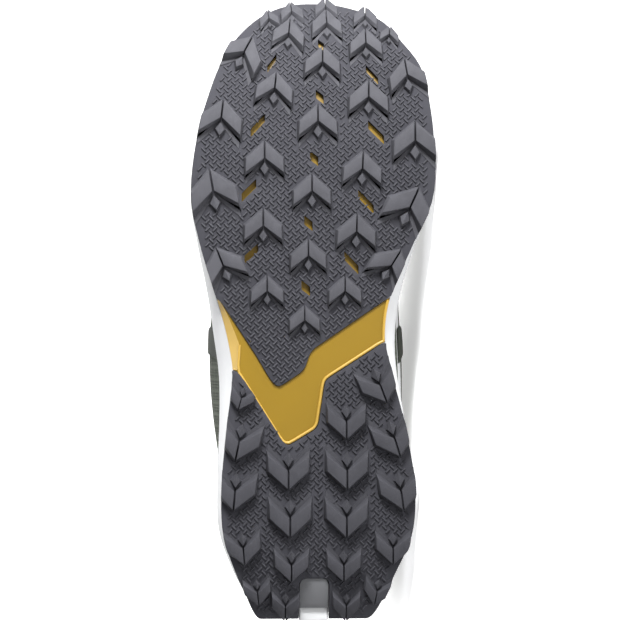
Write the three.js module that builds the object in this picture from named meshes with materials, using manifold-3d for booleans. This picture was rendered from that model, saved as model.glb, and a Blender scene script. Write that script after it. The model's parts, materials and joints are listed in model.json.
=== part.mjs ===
// A right mid-height trekking boot, EU 43, in millimetres, lying on its inner side.
// It is modelled standing: +X to the toe, +Y to the inner (medial) side, +Z up, the tread plane at z = 0
// and x = 0 at half the sole's length. The last section lays it on its sole edge, heel and collar.
import * as THREE from "three";
import { mergeVertices } from "three/addons/utils/BufferGeometryUtils.js";
import Module from "manifold-3d";

const wasm = await Module();
wasm.setup();

// Driving sizes
const sole = {
  length: 306,
  ballWidth: 121,
  lugHeight: 4.5,
  rubber: 2.6,
  toeSpring: 25,
  toeWrap: 16,
  heelBevel: 6,
  heelWrap: 4,
  heelStack: 33,
  rim: 11,
};
const plate = { thickness: 1.5, recess: 0.7, inset: 5 };
const boot = { upperHeight: 115, eyestayWall: 2.6, overlay: 1.3, insole: 4.5, tongue: 4.2 };
const heelGroove = { width: 15, length: 17.5, corner: 3, depth: 1.2, finReach: 3.4, finHeight: 15 };
const throat = { start: 5.2, startWidth: 9, endWidth: 31, depth: 14 };
const lace = { radius: 1.8, sides: 6, steps: 5, pairs: 6, firstPair: 5.9, lastPair: 15.6, sag: 0.22 };
const eyelet = { radius: 4.3, hole: 2.2, height: 1, fromEdge: 7 };
const loop = { width: 15, thickness: 1.7, rise: 14, span: 11.8, behind: 3, backLeg: 24, frontLeg: 10 };
const clearance = 0.3;

// The tread's outline: a row for each station, as shares of the sole's length from the toe and of the
// ball width to each side of the axis. spread is how far the midsole bulges past the tread, outer and
// inner side, tuck how far its top edge draws in to meet the upper, all as shares of the ball width.
const OUTLINE = [
  { along: 0, lateral: 0.121, medial: 0.117, spreadLateral: 0, spreadMedial: 0, tuck: 0.0 },
  { along: 0.026, lateral: 0.234, medial: 0.276, spreadLateral: 0, spreadMedial: 0, tuck: 0.01 },
  { along: 0.062, lateral: 0.331, medial: 0.36, spreadLateral: 0, spreadMedial: 0, tuck: 0.018 },
  { along: 0.102, lateral: 0.391, medial: 0.432, spreadLateral: 0, spreadMedial: 0, tuck: 0.025 },
  { along: 0.141, lateral: 0.43, medial: 0.459, spreadLateral: 0, spreadMedial: 0, tuck: 0.03 },
  { along: 0.22, lateral: 0.487, medial: 0.483, spreadLateral: 0, spreadMedial: 0, tuck: 0.04 },
  { along: 0.318, lateral: 0.513, medial: 0.48, spreadLateral: 0, spreadMedial: 0, tuck: 0.045 },
  { along: 0.397, lateral: 0.476, medial: 0.395, spreadLateral: 0.008, spreadMedial: 0.018, tuck: 0.032 },
  { along: 0.48, lateral: 0.412, medial: 0.306, spreadLateral: 0.03, spreadMedial: 0.046, tuck: 0.01 },
  { along: 0.548, lateral: 0.366, medial: 0.283, spreadLateral: 0.05, spreadMedial: 0.05, tuck: 0.004 },
  { along: 0.608, lateral: 0.344, medial: 0.312, spreadLateral: 0.052, spreadMedial: 0.03, tuck: 0.004 },
  { along: 0.682, lateral: 0.364, medial: 0.36, spreadLateral: 0.03, spreadMedial: 0.012, tuck: 0.01 },
  { along: 0.78, lateral: 0.387, medial: 0.403, spreadLateral: 0.016, spreadMedial: 0.004, tuck: 0.028 },
  { along: 0.861, lateral: 0.383, medial: 0.395, spreadLateral: 0.014, spreadMedial: 0.006, tuck: 0.03 },
  { along: 0.928, lateral: 0.33, medial: 0.326, spreadLateral: 0.012, spreadMedial: 0.008, tuck: 0.018 },
  { along: 0.967, lateral: 0.285, medial: 0.279, spreadLateral: 0.01, spreadMedial: 0.008, tuck: 0.012 },
  { along: 1, lateral: 0.224, medial: 0.207, spreadLateral: 0.008, spreadMedial: 0.008, tuck: 0.01 },
];

// The footbed on which the upper stands, as shares of the heel's stack height.
const FOOTBED = [
  { along: 0, rise: 1.3 },
  { along: 0.04, rise: 1.2 },
  { along: 0.1, rise: 1.06 },
  { along: 0.2, rise: 0.9 },
  { along: 0.3, rise: 0.81 },
  { along: 0.42, rise: 0.82 },
  { along: 0.55, rise: 0.88 },
  { along: 0.7, rise: 0.95 },
  { along: 0.85, rise: 1 },
  { along: 1, rise: 1.02 },
];

// The upper's form: sections that fan from the toe round the heel to the collar. Each runs in side view
// from a low or back end to a top or front end, at a share of the sole's length and a lift over the
// footbed in shares of the upper's height. Half widths are shares of the ball width, and widest says
// how far up the section they lie. base is the width at the low end against the widest, crown how full
// the top is, lean how far its ridge lies to the inner side, and wall the thickness in millimetres.
const SECTIONS = [
  { low: [0.039, -0.043], top: [0.038, 0.078], lateral: 0.105, medial: 0.124, widest: 0.4, base: 0.92, crown: 2.2, lean: 0.01, wall: 2.4 },
  { low: [0.052, -0.05], top: [0.053, 0.165], lateral: 0.207, medial: 0.233, widest: 0.38, base: 0.93, crown: 2.3, lean: 0.016, wall: 2.4 },
  { low: [0.082, -0.05], top: [0.081, 0.257], lateral: 0.289, medial: 0.325, widest: 0.36, base: 0.94, crown: 2.3, lean: 0.026, wall: 2.4 },
  { low: [0.134, -0.05], top: [0.131, 0.345], lateral: 0.36, medial: 0.387, widest: 0.34, base: 0.95, crown: 2.2, lean: 0.036, wall: 2.4 },
  { low: [0.203, -0.05], top: [0.193, 0.42], lateral: 0.412, medial: 0.414, widest: 0.33, base: 0.95, crown: 2.1, lean: 0.044, wall: 2.4 },
  { low: [0.278, -0.05], top: [0.258, 0.497], lateral: 0.442, medial: 0.42, widest: 0.33, base: 0.95, crown: 1.95, lean: 0.046, wall: 2.4 },
  { low: [0.353, -0.05], top: [0.322, 0.575], lateral: 0.446, medial: 0.398, widest: 0.34, base: 0.93, crown: 1.85, lean: 0.042, wall: 2.4 },
  { low: [0.435, -0.05], top: [0.382, 0.652], lateral: 0.43, medial: 0.372, widest: 0.38, base: 0.9, crown: 1.75, lean: 0.036, wall: 2.5 },
  { low: [0.516, -0.05], top: [0.438, 0.733], lateral: 0.418, medial: 0.366, widest: 0.43, base: 0.86, crown: 1.75, lean: 0.03, wall: 2.7 },
  { low: [0.605, -0.05], top: [0.487, 0.812], lateral: 0.415, medial: 0.384, widest: 0.47, base: 0.83, crown: 1.8, lean: 0.022, wall: 3.2 },
  { low: [0.696, -0.05], top: [0.526, 0.884], lateral: 0.405, medial: 0.389, widest: 0.48, base: 0.84, crown: 1.85, lean: 0.016, wall: 3.8 },
  { low: [0.794, -0.05], top: [0.552, 0.945], lateral: 0.388, medial: 0.38, widest: 0.48, base: 0.86, crown: 1.9, lean: 0.01, wall: 4.2 },
  { low: [0.88, -0.05], top: [0.57, 0.993], lateral: 0.368, medial: 0.364, widest: 0.46, base: 0.85, crown: 2, lean: 0.006, wall: 3.6 },
  { low: [0.94, -0.045], top: [0.582, 1.028], lateral: 0.354, medial: 0.35, widest: 0.46, base: 0.68, crown: 2, lean: 0, wall: 3.2 },
  { low: [0.978, 0.09], top: [0.59, 1.06], lateral: 0.347, medial: 0.343, widest: 0.47, base: 0.25, crown: 2, lean: 0, wall: 3.2 },
  { low: [0.987, 0.28], top: [0.597, 1.09], lateral: 0.347, medial: 0.343, widest: 0.48, base: 0.08, crown: 2, lean: 0, wall: 4 },
  { low: [0.978, 0.49], top: [0.603, 1.12], lateral: 0.352, medial: 0.348, widest: 0.49, base: 0.05, crown: 2, lean: 0, wall: 5.4 },
  { low: [0.963, 0.665], top: [0.609, 1.15], lateral: 0.36, medial: 0.355, widest: 0.5, base: 0.05, crown: 2, lean: 0, wall: 6.8 },
  { low: [0.959, 0.825], top: [0.616, 1.185], lateral: 0.368, medial: 0.363, widest: 0.5, base: 0.05, crown: 2, lean: 0, wall: 7.8 },
  { low: [0.968, 0.965], top: [0.623, 1.225], lateral: 0.371, medial: 0.367, widest: 0.5, base: 0.05, crown: 2, lean: 0, wall: 7.8 },
  { low: [0.978, 1.11], top: [0.633, 1.3], lateral: 0.364, medial: 0.36, widest: 0.5, base: 0.05, crown: 2, lean: 0, wall: 7.2 },
];

// Side-view lines, along the sole and over the footbed as in the sections
const COLLAR_LINE = [
  [0.5, 1.24],
  [0.575, 1.13],
  [0.625, 1.02],
  [0.69, 0.955],
  [0.77, 0.935],
  [0.86, 0.95],
  [0.93, 0.99],
  [1.06, 1.03],
];
const TOE_CAP = [
  [-0.05, -0.3],
  [-0.05, 0.6],
  [0.098, 0.6],
  [0.112, 0.32],
  [0.15, 0.2],
  [0.21, 0.13],
  [0.3, 0.1],
  [0.36, 0.07],
  [0.36, -0.3],
];
const HEEL_COUNTER = [
  [1.08, -0.3],
  [1.08, 0.6],
  [0.96, 0.58],
  [0.91, 0.44],
  [0.84, 0.3],
  [0.76, 0.2],
  [0.7, 0.1],
  [0.68, -0.3],
];
const TONGUE_TOP = [
  [0.5, 1.28],
  [0.6, 1.26],
  [0.7, 1.2],
];

// The shank gap between the two rubbers: their facing edges, along the sole and across it in ball widths
const FOREFOOT_EDGE = [
  [0.43, -0.6],
  [0.489, -0.389],
  [0.579, -0.241],
  [0.614, -0.19],
  [0.627, -0.158],
  [0.62, -0.128],
  [0.599, -0.05],
  [0.568, -0.024],
  [0.477, 0.314],
  [0.44, 0.6],
];
const HEEL_EDGE = [
  [0.6, -0.6],
  [0.6, -0.345],
  [0.602, -0.322],
  [0.61, -0.302],
  [0.712, -0.139],
  [0.722, -0.118],
  [0.716, -0.09],
  [0.693, 0.006],
  [0.62, 0.034],
  [0.614, 0.044],
  [0.556, 0.272],
  [0.556, 0.29],
  [0.59, 0.6],
];

// Tread lugs, a row for each place along the sole with the lugs across it: [across in ball widths,
// size, turn in degrees towards the inner side]. Forefoot chevrons point to the toe, heel ones back.
const FOREFOOT_LUGS = [
  { along: 0.004, lugs: [[0.053, 0.6, 0]] },
  { along: 0.013, lugs: [[-0.092, 0.6, -4]] },
  { along: 0.026, lugs: [[0.214, 0.62, 4]] },
  { along: 0.031, lugs: [[-0.188, 0.52, -8]] },
  { along: 0.039, lugs: [[0.051, 0.8, 0]] },
  { along: 0.056, lugs: [[0.309, 0.5, 8], [-0.108, 0.84, 8]] },
  { along: 0.072, lugs: [[0.209, 0.86, 0]] },
  { along: 0.088, lugs: [[-0.294, 1.05, 30]] },
  { along: 0.103, lugs: [[0.028, 0.94, 2]] },
  { along: 0.124, lugs: [[0.376, 1, -9]] },
  { along: 0.146, lugs: [[-0.17, 0.98, 7]] },
  { along: 0.16, lugs: [[0.215, 1.04, 1]] },
  { along: 0.194, lugs: [[-0.389, 1.12, 7]] },
  { along: 0.199, lugs: [[0.006, 1.02, 0]] },
  { along: 0.23, lugs: [[0.404, 1.16, 0]] },
  { along: 0.259, lugs: [[-0.213, 1.02, 0]] },
  { along: 0.275, lugs: [[0.187, 1.02, 3]] },
  { along: 0.311, lugs: [[-0.423, 1.24, -10], [-0.02, 1, 0]] },
  { along: 0.337, lugs: [[0.381, 1.24, 25]] },
  { along: 0.367, lugs: [[-0.219, 1, 0]] },
  { along: 0.376, lugs: [[0.162, 1.02, 2]] },
  { along: 0.415, lugs: [[-0.035, 0.94, 0]] },
  { along: 0.431, lugs: [[-0.382, 1.06, -22], [0.304, 1.06, 32]] },
  { along: 0.472, lugs: [[-0.203, 0.86, 0], [0.115, 0.86, 0]] },
  { along: 0.519, lugs: [[-0.05, 0.8, 0]] },
];
const HEEL_LUGS = [
  { along: 0.624, lugs: [[0.259, 1.06, 21]] },
  { along: 0.645, lugs: [[-0.308, 0.68, -16]] },
  { along: 0.683, lugs: [[0.121, 1.02, 0]] },
  { along: 0.71, lugs: [[0.318, 1.1, 17]] },
  { along: 0.715, lugs: [[-0.317, 1.1, -12]] },
  { along: 0.762, lugs: [[-0.116, 1.1, 0], [0.124, 1.1, 0]] },
  { along: 0.795, lugs: [[-0.334, 1.1, -5], [0.344, 1.12, 8]] },
  { along: 0.838, lugs: [[-0.109, 1.12, 0], [0.122, 1.12, 0]] },
  { along: 0.887, lugs: [[-0.3, 0.92, 5], [0.312, 0.92, 0]] },
  { along: 0.915, lugs: [[-0.103, 0.9, 0], [0.111, 0.9, 0]] },
  { along: 0.957, lugs: [[-0.241, 0.7, 7], [0.248, 0.7, -12]] },
  { along: 0.985, lugs: [[-0.126, 0.78, 0], [0.124, 0.78, 0]] },
];
// One lug of size 1: a chevron top seen from below, apex forward, in millimetres from its inner corner
const CHEVRON = { apex: 7.9, outerEnd: [-4, 8.9], innerEnd: [-9.3, 9.3], outerSkirt: 1.2, innerSkirt: 0.5 };
const SPIKE = { front: -1.2, back: -8, widest: -5, halfWidth: 2.6, height: 0.62 };

// Windows through the forefoot rubber: place, length, width and the turn of the diamond's long side
const WINDOWS = [
  { along: 0.07, across: 0.028, length: 5.5, width: 3, turn: -52 },
  { along: 0.1, across: -0.179, length: 7.5, width: 2.8, turn: 35 },
  { along: 0.119, across: 0.233, length: 8.5, width: 2.8, turn: -42 },
  { along: 0.156, across: 0.016, length: 6, width: 3.4, turn: -58 },
  { along: 0.203, across: -0.239, length: 10, width: 3.6, turn: 42 },
  { along: 0.214, across: 0.246, length: 10.5, width: 3.6, turn: -45 },
  { along: 0.257, across: -0.009, length: 6.5, width: 3.6, turn: -60 },
  { along: 0.309, across: -0.276, length: 9.5, width: 3.6, turn: 45 },
  { along: 0.327, across: 0.203, length: 10.5, width: 3.6, turn: -44 },
  { along: 0.362, across: -0.033, length: 6.5, width: 3.6, turn: -62 },
  { along: 0.411, across: -0.266, length: 8.5, width: 3.4, turn: 48 },
  { along: 0.426, across: 0.143, length: 9.5, width: 3.6, turn: -44 },
  { along: 0.467, across: -0.044, length: 7, width: 3.6, turn: -64 },
];

// Sampling
const soleStations = 32;
const sectionSides = 11;
const farAway = 400;

// Small helpers
const xOf = (along) => sole.length * (0.5 - along);
const alongOf = (x) => 0.5 - x / sole.length;
const clamp = (value, low, high) => Math.min(high, Math.max(low, value));
const ease = (value, low, high) => THREE.MathUtils.smoothstep(value, low, high);
const across = (share) => share * sole.ballWidth;

// A smooth curve through a table's column; rows are placed at the values that placeOf gives.
function smooth(rows, placeOf, valueOf, at) {
  const last = rows.length - 1;
  let k = 0;
  while (k < last - 1 && placeOf(rows[k + 1], k + 1) < at) k++;
  const place = (n) => placeOf(rows[clamp(n, 0, last)], clamp(n, 0, last));
  const value = (n) => valueOf(rows[clamp(n, 0, last)]);
  const slope = (n) => {
    const run = place(n + 1) - place(n - 1);
    return run ? (value(n + 1) - value(n - 1)) / run : 0;
  };
  const step = place(k + 1) - place(k);
  const t = clamp((at - place(k)) / step, 0, 1);
  const t2 = t * t;
  const t3 = t2 * t;
  return (
    (2 * t3 - 3 * t2 + 1) * value(k) +
    (t3 - 2 * t2 + t) * step * slope(k) +
    (3 * t2 - 2 * t3) * value(k + 1) +
    (t3 - t2) * step * slope(k + 1)
  );
}

// Places along the sole are spread as angles, which keeps its round ends round.
const turnOf = (along) => Math.acos(clamp(1 - 2 * along, -1, 1));
const outlineAt = (along, column) =>
  sole.ballWidth * smooth(OUTLINE, (row) => turnOf(row.along), (row) => row[column], turnOf(along));
const footbedAt = (along) => sole.heelStack * smooth(FOOTBED, (row) => row.along, (row) => row.rise, along);

// Solids
function solidOf(geometry) {
  const bare = geometry.index ? geometry.toNonIndexed() : geometry.clone();
  for (const name of Object.keys(bare.attributes)) if (name !== "position") bare.deleteAttribute(name);
  const merged = mergeVertices(bare, 1e-4);
  const triVerts = new Uint32Array(merged.index.array);
  const vertProperties = merged.attributes.position.array;
  const solid = new wasm.Manifold(new wasm.Mesh({ numProp: 3, vertProperties, triVerts }));
  if (solid.volume() >= 0) return solid;
  for (let i = 0; i < triVerts.length; i += 3) {
    [triVerts[i + 1], triVerts[i + 2]] = [triVerts[i + 2], triVerts[i + 1]];
  }
  return new wasm.Manifold(new wasm.Mesh({ numProp: 3, vertProperties, triVerts }));
}

function geometryOf(solid) {
  const { vertProperties, triVerts } = solid.getMesh();
  const geometry = new THREE.BufferGeometry();
  geometry.setAttribute("position", new THREE.BufferAttribute(vertProperties, 3));
  geometry.setIndex(new THREE.BufferAttribute(triVerts, 1));
  return geometry;
}

const joined = (solids) => solids.reduce((sum, next) => sum.add(next));

// A closed skin over a stack of rings. In each ring, points j and last - j lie across from each other.
function stack(rings) {
  const count = rings[0].length;
  const points = rings.flat();
  const faces = [];
  const quad = (a, b, c, d) => faces.push(a, b, c, a, c, d);
  for (let i = 0; i < rings.length - 1; i++) {
    for (let j = 0; j < count; j++) {
      const k = (j + 1) % count;
      quad(i * count + j, i * count + k, (i + 1) * count + k, (i + 1) * count + j);
    }
  }
  const top = (rings.length - 1) * count;
  for (let j = 0; j < Math.floor(count / 2); j++) {
    const far = count - 1 - j;
    if (j + 1 === far) continue;
    if (j + 1 === far - 1) {
      faces.push(j, far, j + 1, top + j, top + j + 1, top + far);
    } else {
      quad(j, far, far - 1, j + 1);
      quad(top + j, top + j + 1, top + far - 1, top + far);
    }
  }
  const geometry = new THREE.BufferGeometry().setFromPoints(points);
  geometry.setIndex(faces);
  return solidOf(geometry);
}

// A prism over a plan outline, points as [x, y], from one height to another
function planPrism(points, low, high) {
  const shape = new THREE.Shape(points.map(([x, y]) => new THREE.Vector2(x, y)));
  const geometry = new THREE.ExtrudeGeometry(shape, { depth: high - low, bevelEnabled: false });
  return solidOf(geometry.translate(0, 0, low));
}

// A prism across the boot over a side-view outline, points as [x, z]
function sidePrism(points, width = farAway) {
  const shape = new THREE.Shape(points.map(([x, z]) => new THREE.Vector2(x, z)));
  const geometry = new THREE.ExtrudeGeometry(shape, { depth: width, bevelEnabled: false });
  return solidOf(geometry.rotateX(Math.PI / 2).translate(0, width / 2, 0));
}

const sidePoint = ([along, lift]) => [xOf(along), footbedAt(clamp(along, 0, 1)) + lift * boot.upperHeight];

// The tread's rocker: height of the rubber's lower face, and its upward normal in side view
function treadAt(along) {
  const toe = clamp(1 - along / 0.425, 0, 1);
  const heel = clamp((along - 0.837) / 0.163, 0, 1);
  return (
    sole.lugHeight +
    sole.toeSpring * toe ** 3 +
    sole.toeWrap * toe ** 16 +
    sole.heelBevel * heel ** 2.2 +
    sole.heelWrap * heel ** 8
  );
}

function treadSlope(along) {
  const step = 0.002;
  const low = clamp(along, step, 1 - step) - step;
  const high = low + 2 * step;
  return Math.atan((treadAt(low) - treadAt(high)) / ((high - low) * sole.length));
}

// A sole ring: the outline grown by grow(along, side), lifted off the tread by lift(along) along its normal
function soleRing(grow, lift) {
  const sides = { lateral: [], medial: [] };
  for (let n = 0; n <= soleStations; n++) {
    const along = (1 - Math.cos((Math.PI * n) / soleStations)) / 2;
    const ends = Math.cos(turnOf(along));
    const endShare = Math.abs(ends) ** 12;
    for (const [side, sign] of [["lateral", -1], ["medial", 1]]) {
      const more = grow(along, side);
      const place = clamp(along - (Math.sign(ends) * endShare * more) / sole.length, -0.02, 1.02);
      const slope = treadSlope(place);
      const x = xOf(place) - Math.sin(slope) * lift(along);
      const y = sign * (outlineAt(along, side) + more * (1 - 0.5 * endShare));
      sides[side].push(new THREE.Vector3(x, y, treadAt(place) + Math.cos(slope) * lift(along)));
    }
  }
  return [...sides.lateral, ...sides.medial.reverse()];
}

const soleLayer = (low, high, grow = () => 0) => stack([soleRing(grow, () => low), soleRing(grow, () => high)]);

// Outline points as [x, y] of an edge table
const edgePoints = (edge) => edge.map(([along, share]) => [xOf(along), across(share)]);

// Lugs, modelled apex forward and pointing down from the rubber's lower face
function lugSolid() {
  const { apex, outerEnd, innerEnd, outerSkirt, innerSkirt } = CHEVRON;
  const ring = (outer, inner, z) => [
    new THREE.Vector3(apex + outer * 1.6, 0, z),
    new THREE.Vector3(outerEnd[0] + outer * 0.6, -outerEnd[1] - outer, z),
    new THREE.Vector3(innerEnd[0] - inner, -innerEnd[1] - outer, z),
    new THREE.Vector3(-inner, 0, z),
    new THREE.Vector3(innerEnd[0] - inner, innerEnd[1] + outer, z),
    new THREE.Vector3(outerEnd[0] + outer * 0.6, outerEnd[1] + outer, z),
  ];
  const root = sole.rubber * 0.5;
  const rings = [ring(0, 0, -sole.lugHeight), ring(outerSkirt, innerSkirt, root)];
  const points = rings.flat();
  const faces = [];
  for (let j = 0; j < 6; j++) {
    const k = (j + 1) % 6;
    faces.push(j, k, k + 6, j, k + 6, j + 6);
  }
  for (const base of [0, 6]) {
    const cap = [[0, 1, 3], [1, 2, 3], [0, 3, 5], [3, 4, 5]];
    for (const [a, b, c] of cap) faces.push(...(base ? [a + 6, b + 6, c + 6] : [a, c, b]));
  }
  const chevron = new THREE.BufferGeometry().setFromPoints(points);
  chevron.setIndex(faces);
  const { front, back, widest, halfWidth, height } = SPIKE;
  const peak = -sole.lugHeight * height;
  const corners = [
    new THREE.Vector3(front, 0, root),
    new THREE.Vector3(widest, -halfWidth, root),
    new THREE.Vector3(back, 0, root),
    new THREE.Vector3(widest, halfWidth, root),
    new THREE.Vector3(widest + 1.4, 0, peak),
  ];
  const spike = new THREE.BufferGeometry().setFromPoints(corners);
  spike.setIndex([0, 1, 3, 1, 2, 3, 0, 4, 1, 1, 4, 2, 2, 4, 3, 3, 4, 0]);
  return solidOf(chevron).add(solidOf(spike));
}

const lug = lugSolid();

function placedLugs(rows, facing) {
  const placed = rows.flatMap(({ along, lugs }) =>
    lugs.map(([share, size, turn]) =>
      lug
        .scale([size, size, Math.min(1, 0.55 + 0.45 * size)])
        .rotate([0, 0, facing + (facing ? -turn : turn)])
        .rotate([0, -THREE.MathUtils.radToDeg(treadSlope(along)), 0])
        .translate([xOf(along), across(share), treadAt(along)]),
    ),
  );
  return joined(placed);
}

function windowPrism({ along, across: share, length, width, turn }) {
  const long = new THREE.Vector2(1, 0).rotateAround(new THREE.Vector2(), THREE.MathUtils.degToRad(turn));
  const centre = new THREE.Vector2(xOf(along), across(share));
  const corner = (l, w) => centre.clone().addScaledVector(long, (l * length) / 2).add(new THREE.Vector2((w * width) / 2, 0));
  const points = [corner(-1, -1), corner(1, -1), corner(1, 1), corner(-1, 1)];
  return planPrism(points.map((p) => [p.x, p.y]), 0, farAway);
}

// Rubber pieces: the base and its lugs, both cut to the outline, and the shank gap between them
const rubberBase = soleLayer(0, sole.rubber);
const outlinePrism = planPrism(
  soleRing(() => 0, () => 0).map((p) => [p.x, p.y]),
  -farAway,
  farAway,
);
const forefootArea = planPrism([...edgePoints(FOREFOOT_EDGE), [farAway, farAway], [farAway, -farAway]], -farAway, farAway);
const heelArea = planPrism([...edgePoints(HEEL_EDGE), [-farAway, farAway], [-farAway, -farAway]], -farAway, farAway);
const toeLugs = FOREFOOT_LUGS.filter((row) => row.along < 0.04);
const otherLugs = FOREFOOT_LUGS.filter((row) => row.along >= 0.04);

function grooveOutline(grow) {
  const half = heelGroove.width / 2 + grow;
  const front = xOf(1) + heelGroove.length + grow;
  const corner = heelGroove.corner;
  const centre = -across(0.008);
  return [
    [-farAway, centre - half],
    [front - corner, centre - half],
    [front, centre - half + corner],
    [front, centre + half - corner],
    [front - corner, centre + half],
    [-farAway, centre + half],
  ];
}
const groovePrism = planPrism(grooveOutline(0), -farAway, sole.heelStack / 2);

function forefootRubber() {
  const windows = joined(WINDOWS.map(windowPrism));
  const lugs = placedLugs(otherLugs, 0).intersect(outlinePrism).add(placedLugs(toeLugs, 0));
  return rubberBase.add(lugs).intersect(forefootArea).subtract(windows);
}

function heelRubber() {
  const lugs = placedLugs(HEEL_LUGS, 180).intersect(outlinePrism);
  return rubberBase.add(lugs).intersect(heelArea).subtract(groovePrism);
}

// The plate: a sheet under the midsole that fills the gap between the rubbers at the shank
function shankPlate() {
  const low = sole.rubber + clearance;
  const inset = (along) => -plate.inset * (1 - ease(along, 0.4, 0.47) * (1 - ease(along, 0.6, 0.68)));
  const sheet = soleLayer(low, low + plate.thickness, inset).subtract(
    planPrism([[xOf(0.76), farAway], [xOf(0.76), -farAway], [-farAway, -farAway], [-farAway, farAway]], -farAway, farAway),
  );
  const flank = (along, side) => (side === "lateral" ? -4.2 * ease(along, 0.48, 0.55) * (1 - ease(along, 0.56, 0.62)) : -0.8);
  const boss = stack([
    soleRing(flank, () => plate.recess),
    soleRing(() => 0, () => low + plate.thickness * 0.5),
    soleRing(() => -0.4, () => low + plate.thickness - 0.05),
  ]);
  const gap = (edge, shift) => edge.map(([along, share]) => [xOf(along) + shift, across(share)]);
  const between = planPrism(
    [...gap(FOREFOOT_EDGE, -clearance * 1.6), ...gap(HEEL_EDGE, clearance * 1.6).reverse()],
    -farAway,
    farAway,
  );
  return sheet.add(boss.intersect(between));
}

// The midsole block, before the upper is let into it
const midsoleLow = sole.rubber + plate.thickness + 2 * clearance;
const rimAt = (along) => footbedAt(along) + sole.rim * (0.75 + 0.25 * ease(along, 0.55, 0.9) + 0.35 * (1 - ease(along, 0.05, 0.2)));

function midsoleBlock(more = 0) {
  const spread = (along, side) => outlineAt(along, side === "lateral" ? "spreadLateral" : "spreadMedial");
  const level = (share, grow) => {
    const ring = soleRing(grow, () => midsoleLow - more);
    return ring.map((p) => {
      const along = clamp(alongOf(p.x), 0, 1);
      const up = THREE.MathUtils.lerp(p.z, Math.max(rimAt(along) + more, p.z + 5), share);
      return new THREE.Vector3(p.x, p.y, up);
    });
  };
  return stack([
    level(0, () => more),
    level(0.22, (along, side) => 0.75 * spread(along, side) + more),
    level(0.5, (along, side) => spread(along, side) + more),
    level(0.78, (along, side) => spread(along, side) - 0.4 * outlineAt(along, "tuck") + more),
    level(1, (along, side) => spread(along, side) - outlineAt(along, "tuck") + more),
  ]);
}

// The upper's form at a fractional section number
function sectionAt(r) {
  const column = (valueOf) => smooth(SECTIONS, (row, n) => n, valueOf, r);
  const point = (key) => {
    const [x, z] = sidePoint([column((row) => row[key][0]), column((row) => row[key][1])]);
    return new THREE.Vector3(x, 0, z);
  };
  return {
    low: point("low"),
    top: point("top"),
    lateral: across(column((row) => row.lateral)),
    medial: across(column((row) => row.medial)),
    lean: across(column((row) => row.lean)),
    widest: column((row) => row.widest),
    base: clamp(column((row) => row.base), 0.05, 1),
    crown: column((row) => row.crown),
    wall: column((row) => row.wall),
  };
}

// Share of the half width at a share s of the way up a section
function fullness(section, s) {
  const { widest, base, crown } = section;
  if (s >= widest) return Math.sqrt(Math.max(0, 1 - ((s - widest) / (1 - widest)) ** crown));
  return base + (1 - base) * Math.sqrt(1 - ((widest - s) / widest) ** 2);
}

function sectionPoint(section, side, s) {
  const point = section.low.clone().lerp(section.top, s);
  point.y = section.lean * s * s + (side === "lateral" ? -section.lateral : section.medial) * fullness(section, s);
  return point;
}

// Every section's points, outer side upwards and inner side down again, with outward normals
const formGrid = SECTIONS.map((row, r) => {
  const section = sectionAt(r);
  const shares = Array.from({ length: sectionSides + 1 }, (_, j) => (1 - Math.cos((Math.PI * j) / sectionSides)) / 2);
  const up = shares.map((s) => ({ s, point: sectionPoint(section, "lateral", s) }));
  const down = shares.slice(0, -1).reverse().map((s) => ({ s, point: sectionPoint(section, "medial", s) }));
  return [...up, ...down].map((entry) => ({ ...entry, section }));
});
formGrid.forEach((ring, i) => {
  const before = formGrid[Math.max(0, i - 1)];
  const after = formGrid[Math.min(formGrid.length - 1, i + 1)];
  const middle = ring[0].section.low.clone().lerp(ring[0].section.top, 0.5);
  ring.forEach((entry, j) => {
    const next = ring[(j + 1) % ring.length].point;
    const last = ring[(j + ring.length - 1) % ring.length].point;
    const along = after[j].point.clone().sub(before[j].point);
    entry.normal = next.clone().sub(last).cross(along).normalize();
    if (entry.normal.dot(entry.point.clone().sub(middle)) < 0) entry.normal.negate();
  });
});

// The closed form grown by grow(section, share up it), over its sections from first to last
function form(grow, first = 0, last = SECTIONS.length - 1) {
  const rings = formGrid.slice(first, last + 1).map((ring) =>
    ring.map(({ point, normal, section, s }) => point.clone().addScaledVector(normal, grow(section, s))),
  );
  return stack(rings);
}

const wallAt = (section, s) => THREE.MathUtils.lerp(section.wall, boot.eyestayWall, ease(s, 0.62, 0.84));
const outerForm = (grow) => form(() => grow);
const innerForm = (grow) => form((section, s) => grow - wallAt(section, s));

// Cuts in side view
function belowFootbed(raise) {
  const line = Array.from({ length: 25 }, (_, n) => n / 24).map((along) => [xOf(along), footbedAt(along) + raise]);
  return sidePrism([[farAway, -farAway], [farAway, line[0][1]], ...line, [-farAway, line[24][1]], [-farAway, -farAway]]);
}
const aboveLine = (line) => {
  const points = line.map(sidePoint);
  return sidePrism([[farAway, points[0][1]], ...points, [-farAway, points.at(-1)[1]], [-farAway, farAway], [farAway, farAway]]);
};
const inSideView = (line) => sidePrism(line.map(sidePoint));

// A cutter along the ridge of the form, reaching from -low to high off its surface, between section numbers
function ridgeCutter(from, to, halfWidthAt, low, high) {
  const rings = [];
  const steps = 12;
  for (let n = 0; n <= steps; n++) {
    const r = THREE.MathUtils.lerp(from, to, n / steps);
    const { low: foot, top, lean } = sectionAt(r);
    const up = top.clone().sub(foot).normalize();
    const half = halfWidthAt(r);
    const corner = (side, height) => new THREE.Vector3(top.x, lean + side * half, top.z).addScaledVector(up, height);
    rings.push([corner(-1, -low), corner(-1, high), corner(1, high), corner(1, -low)]);
  }
  return stack(rings);
}

const topSection = SECTIONS.length - 1;
const throatHalfWidth = (r) => {
  const open = clamp((r - throat.start) / (topSection - throat.start), 0, 1);
  return THREE.MathUtils.lerp(throat.startWidth, throat.endWidth, open) / 2 * Math.min(1, 0.45 + 2.5 * Math.max(0, r - throat.start));
};

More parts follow.
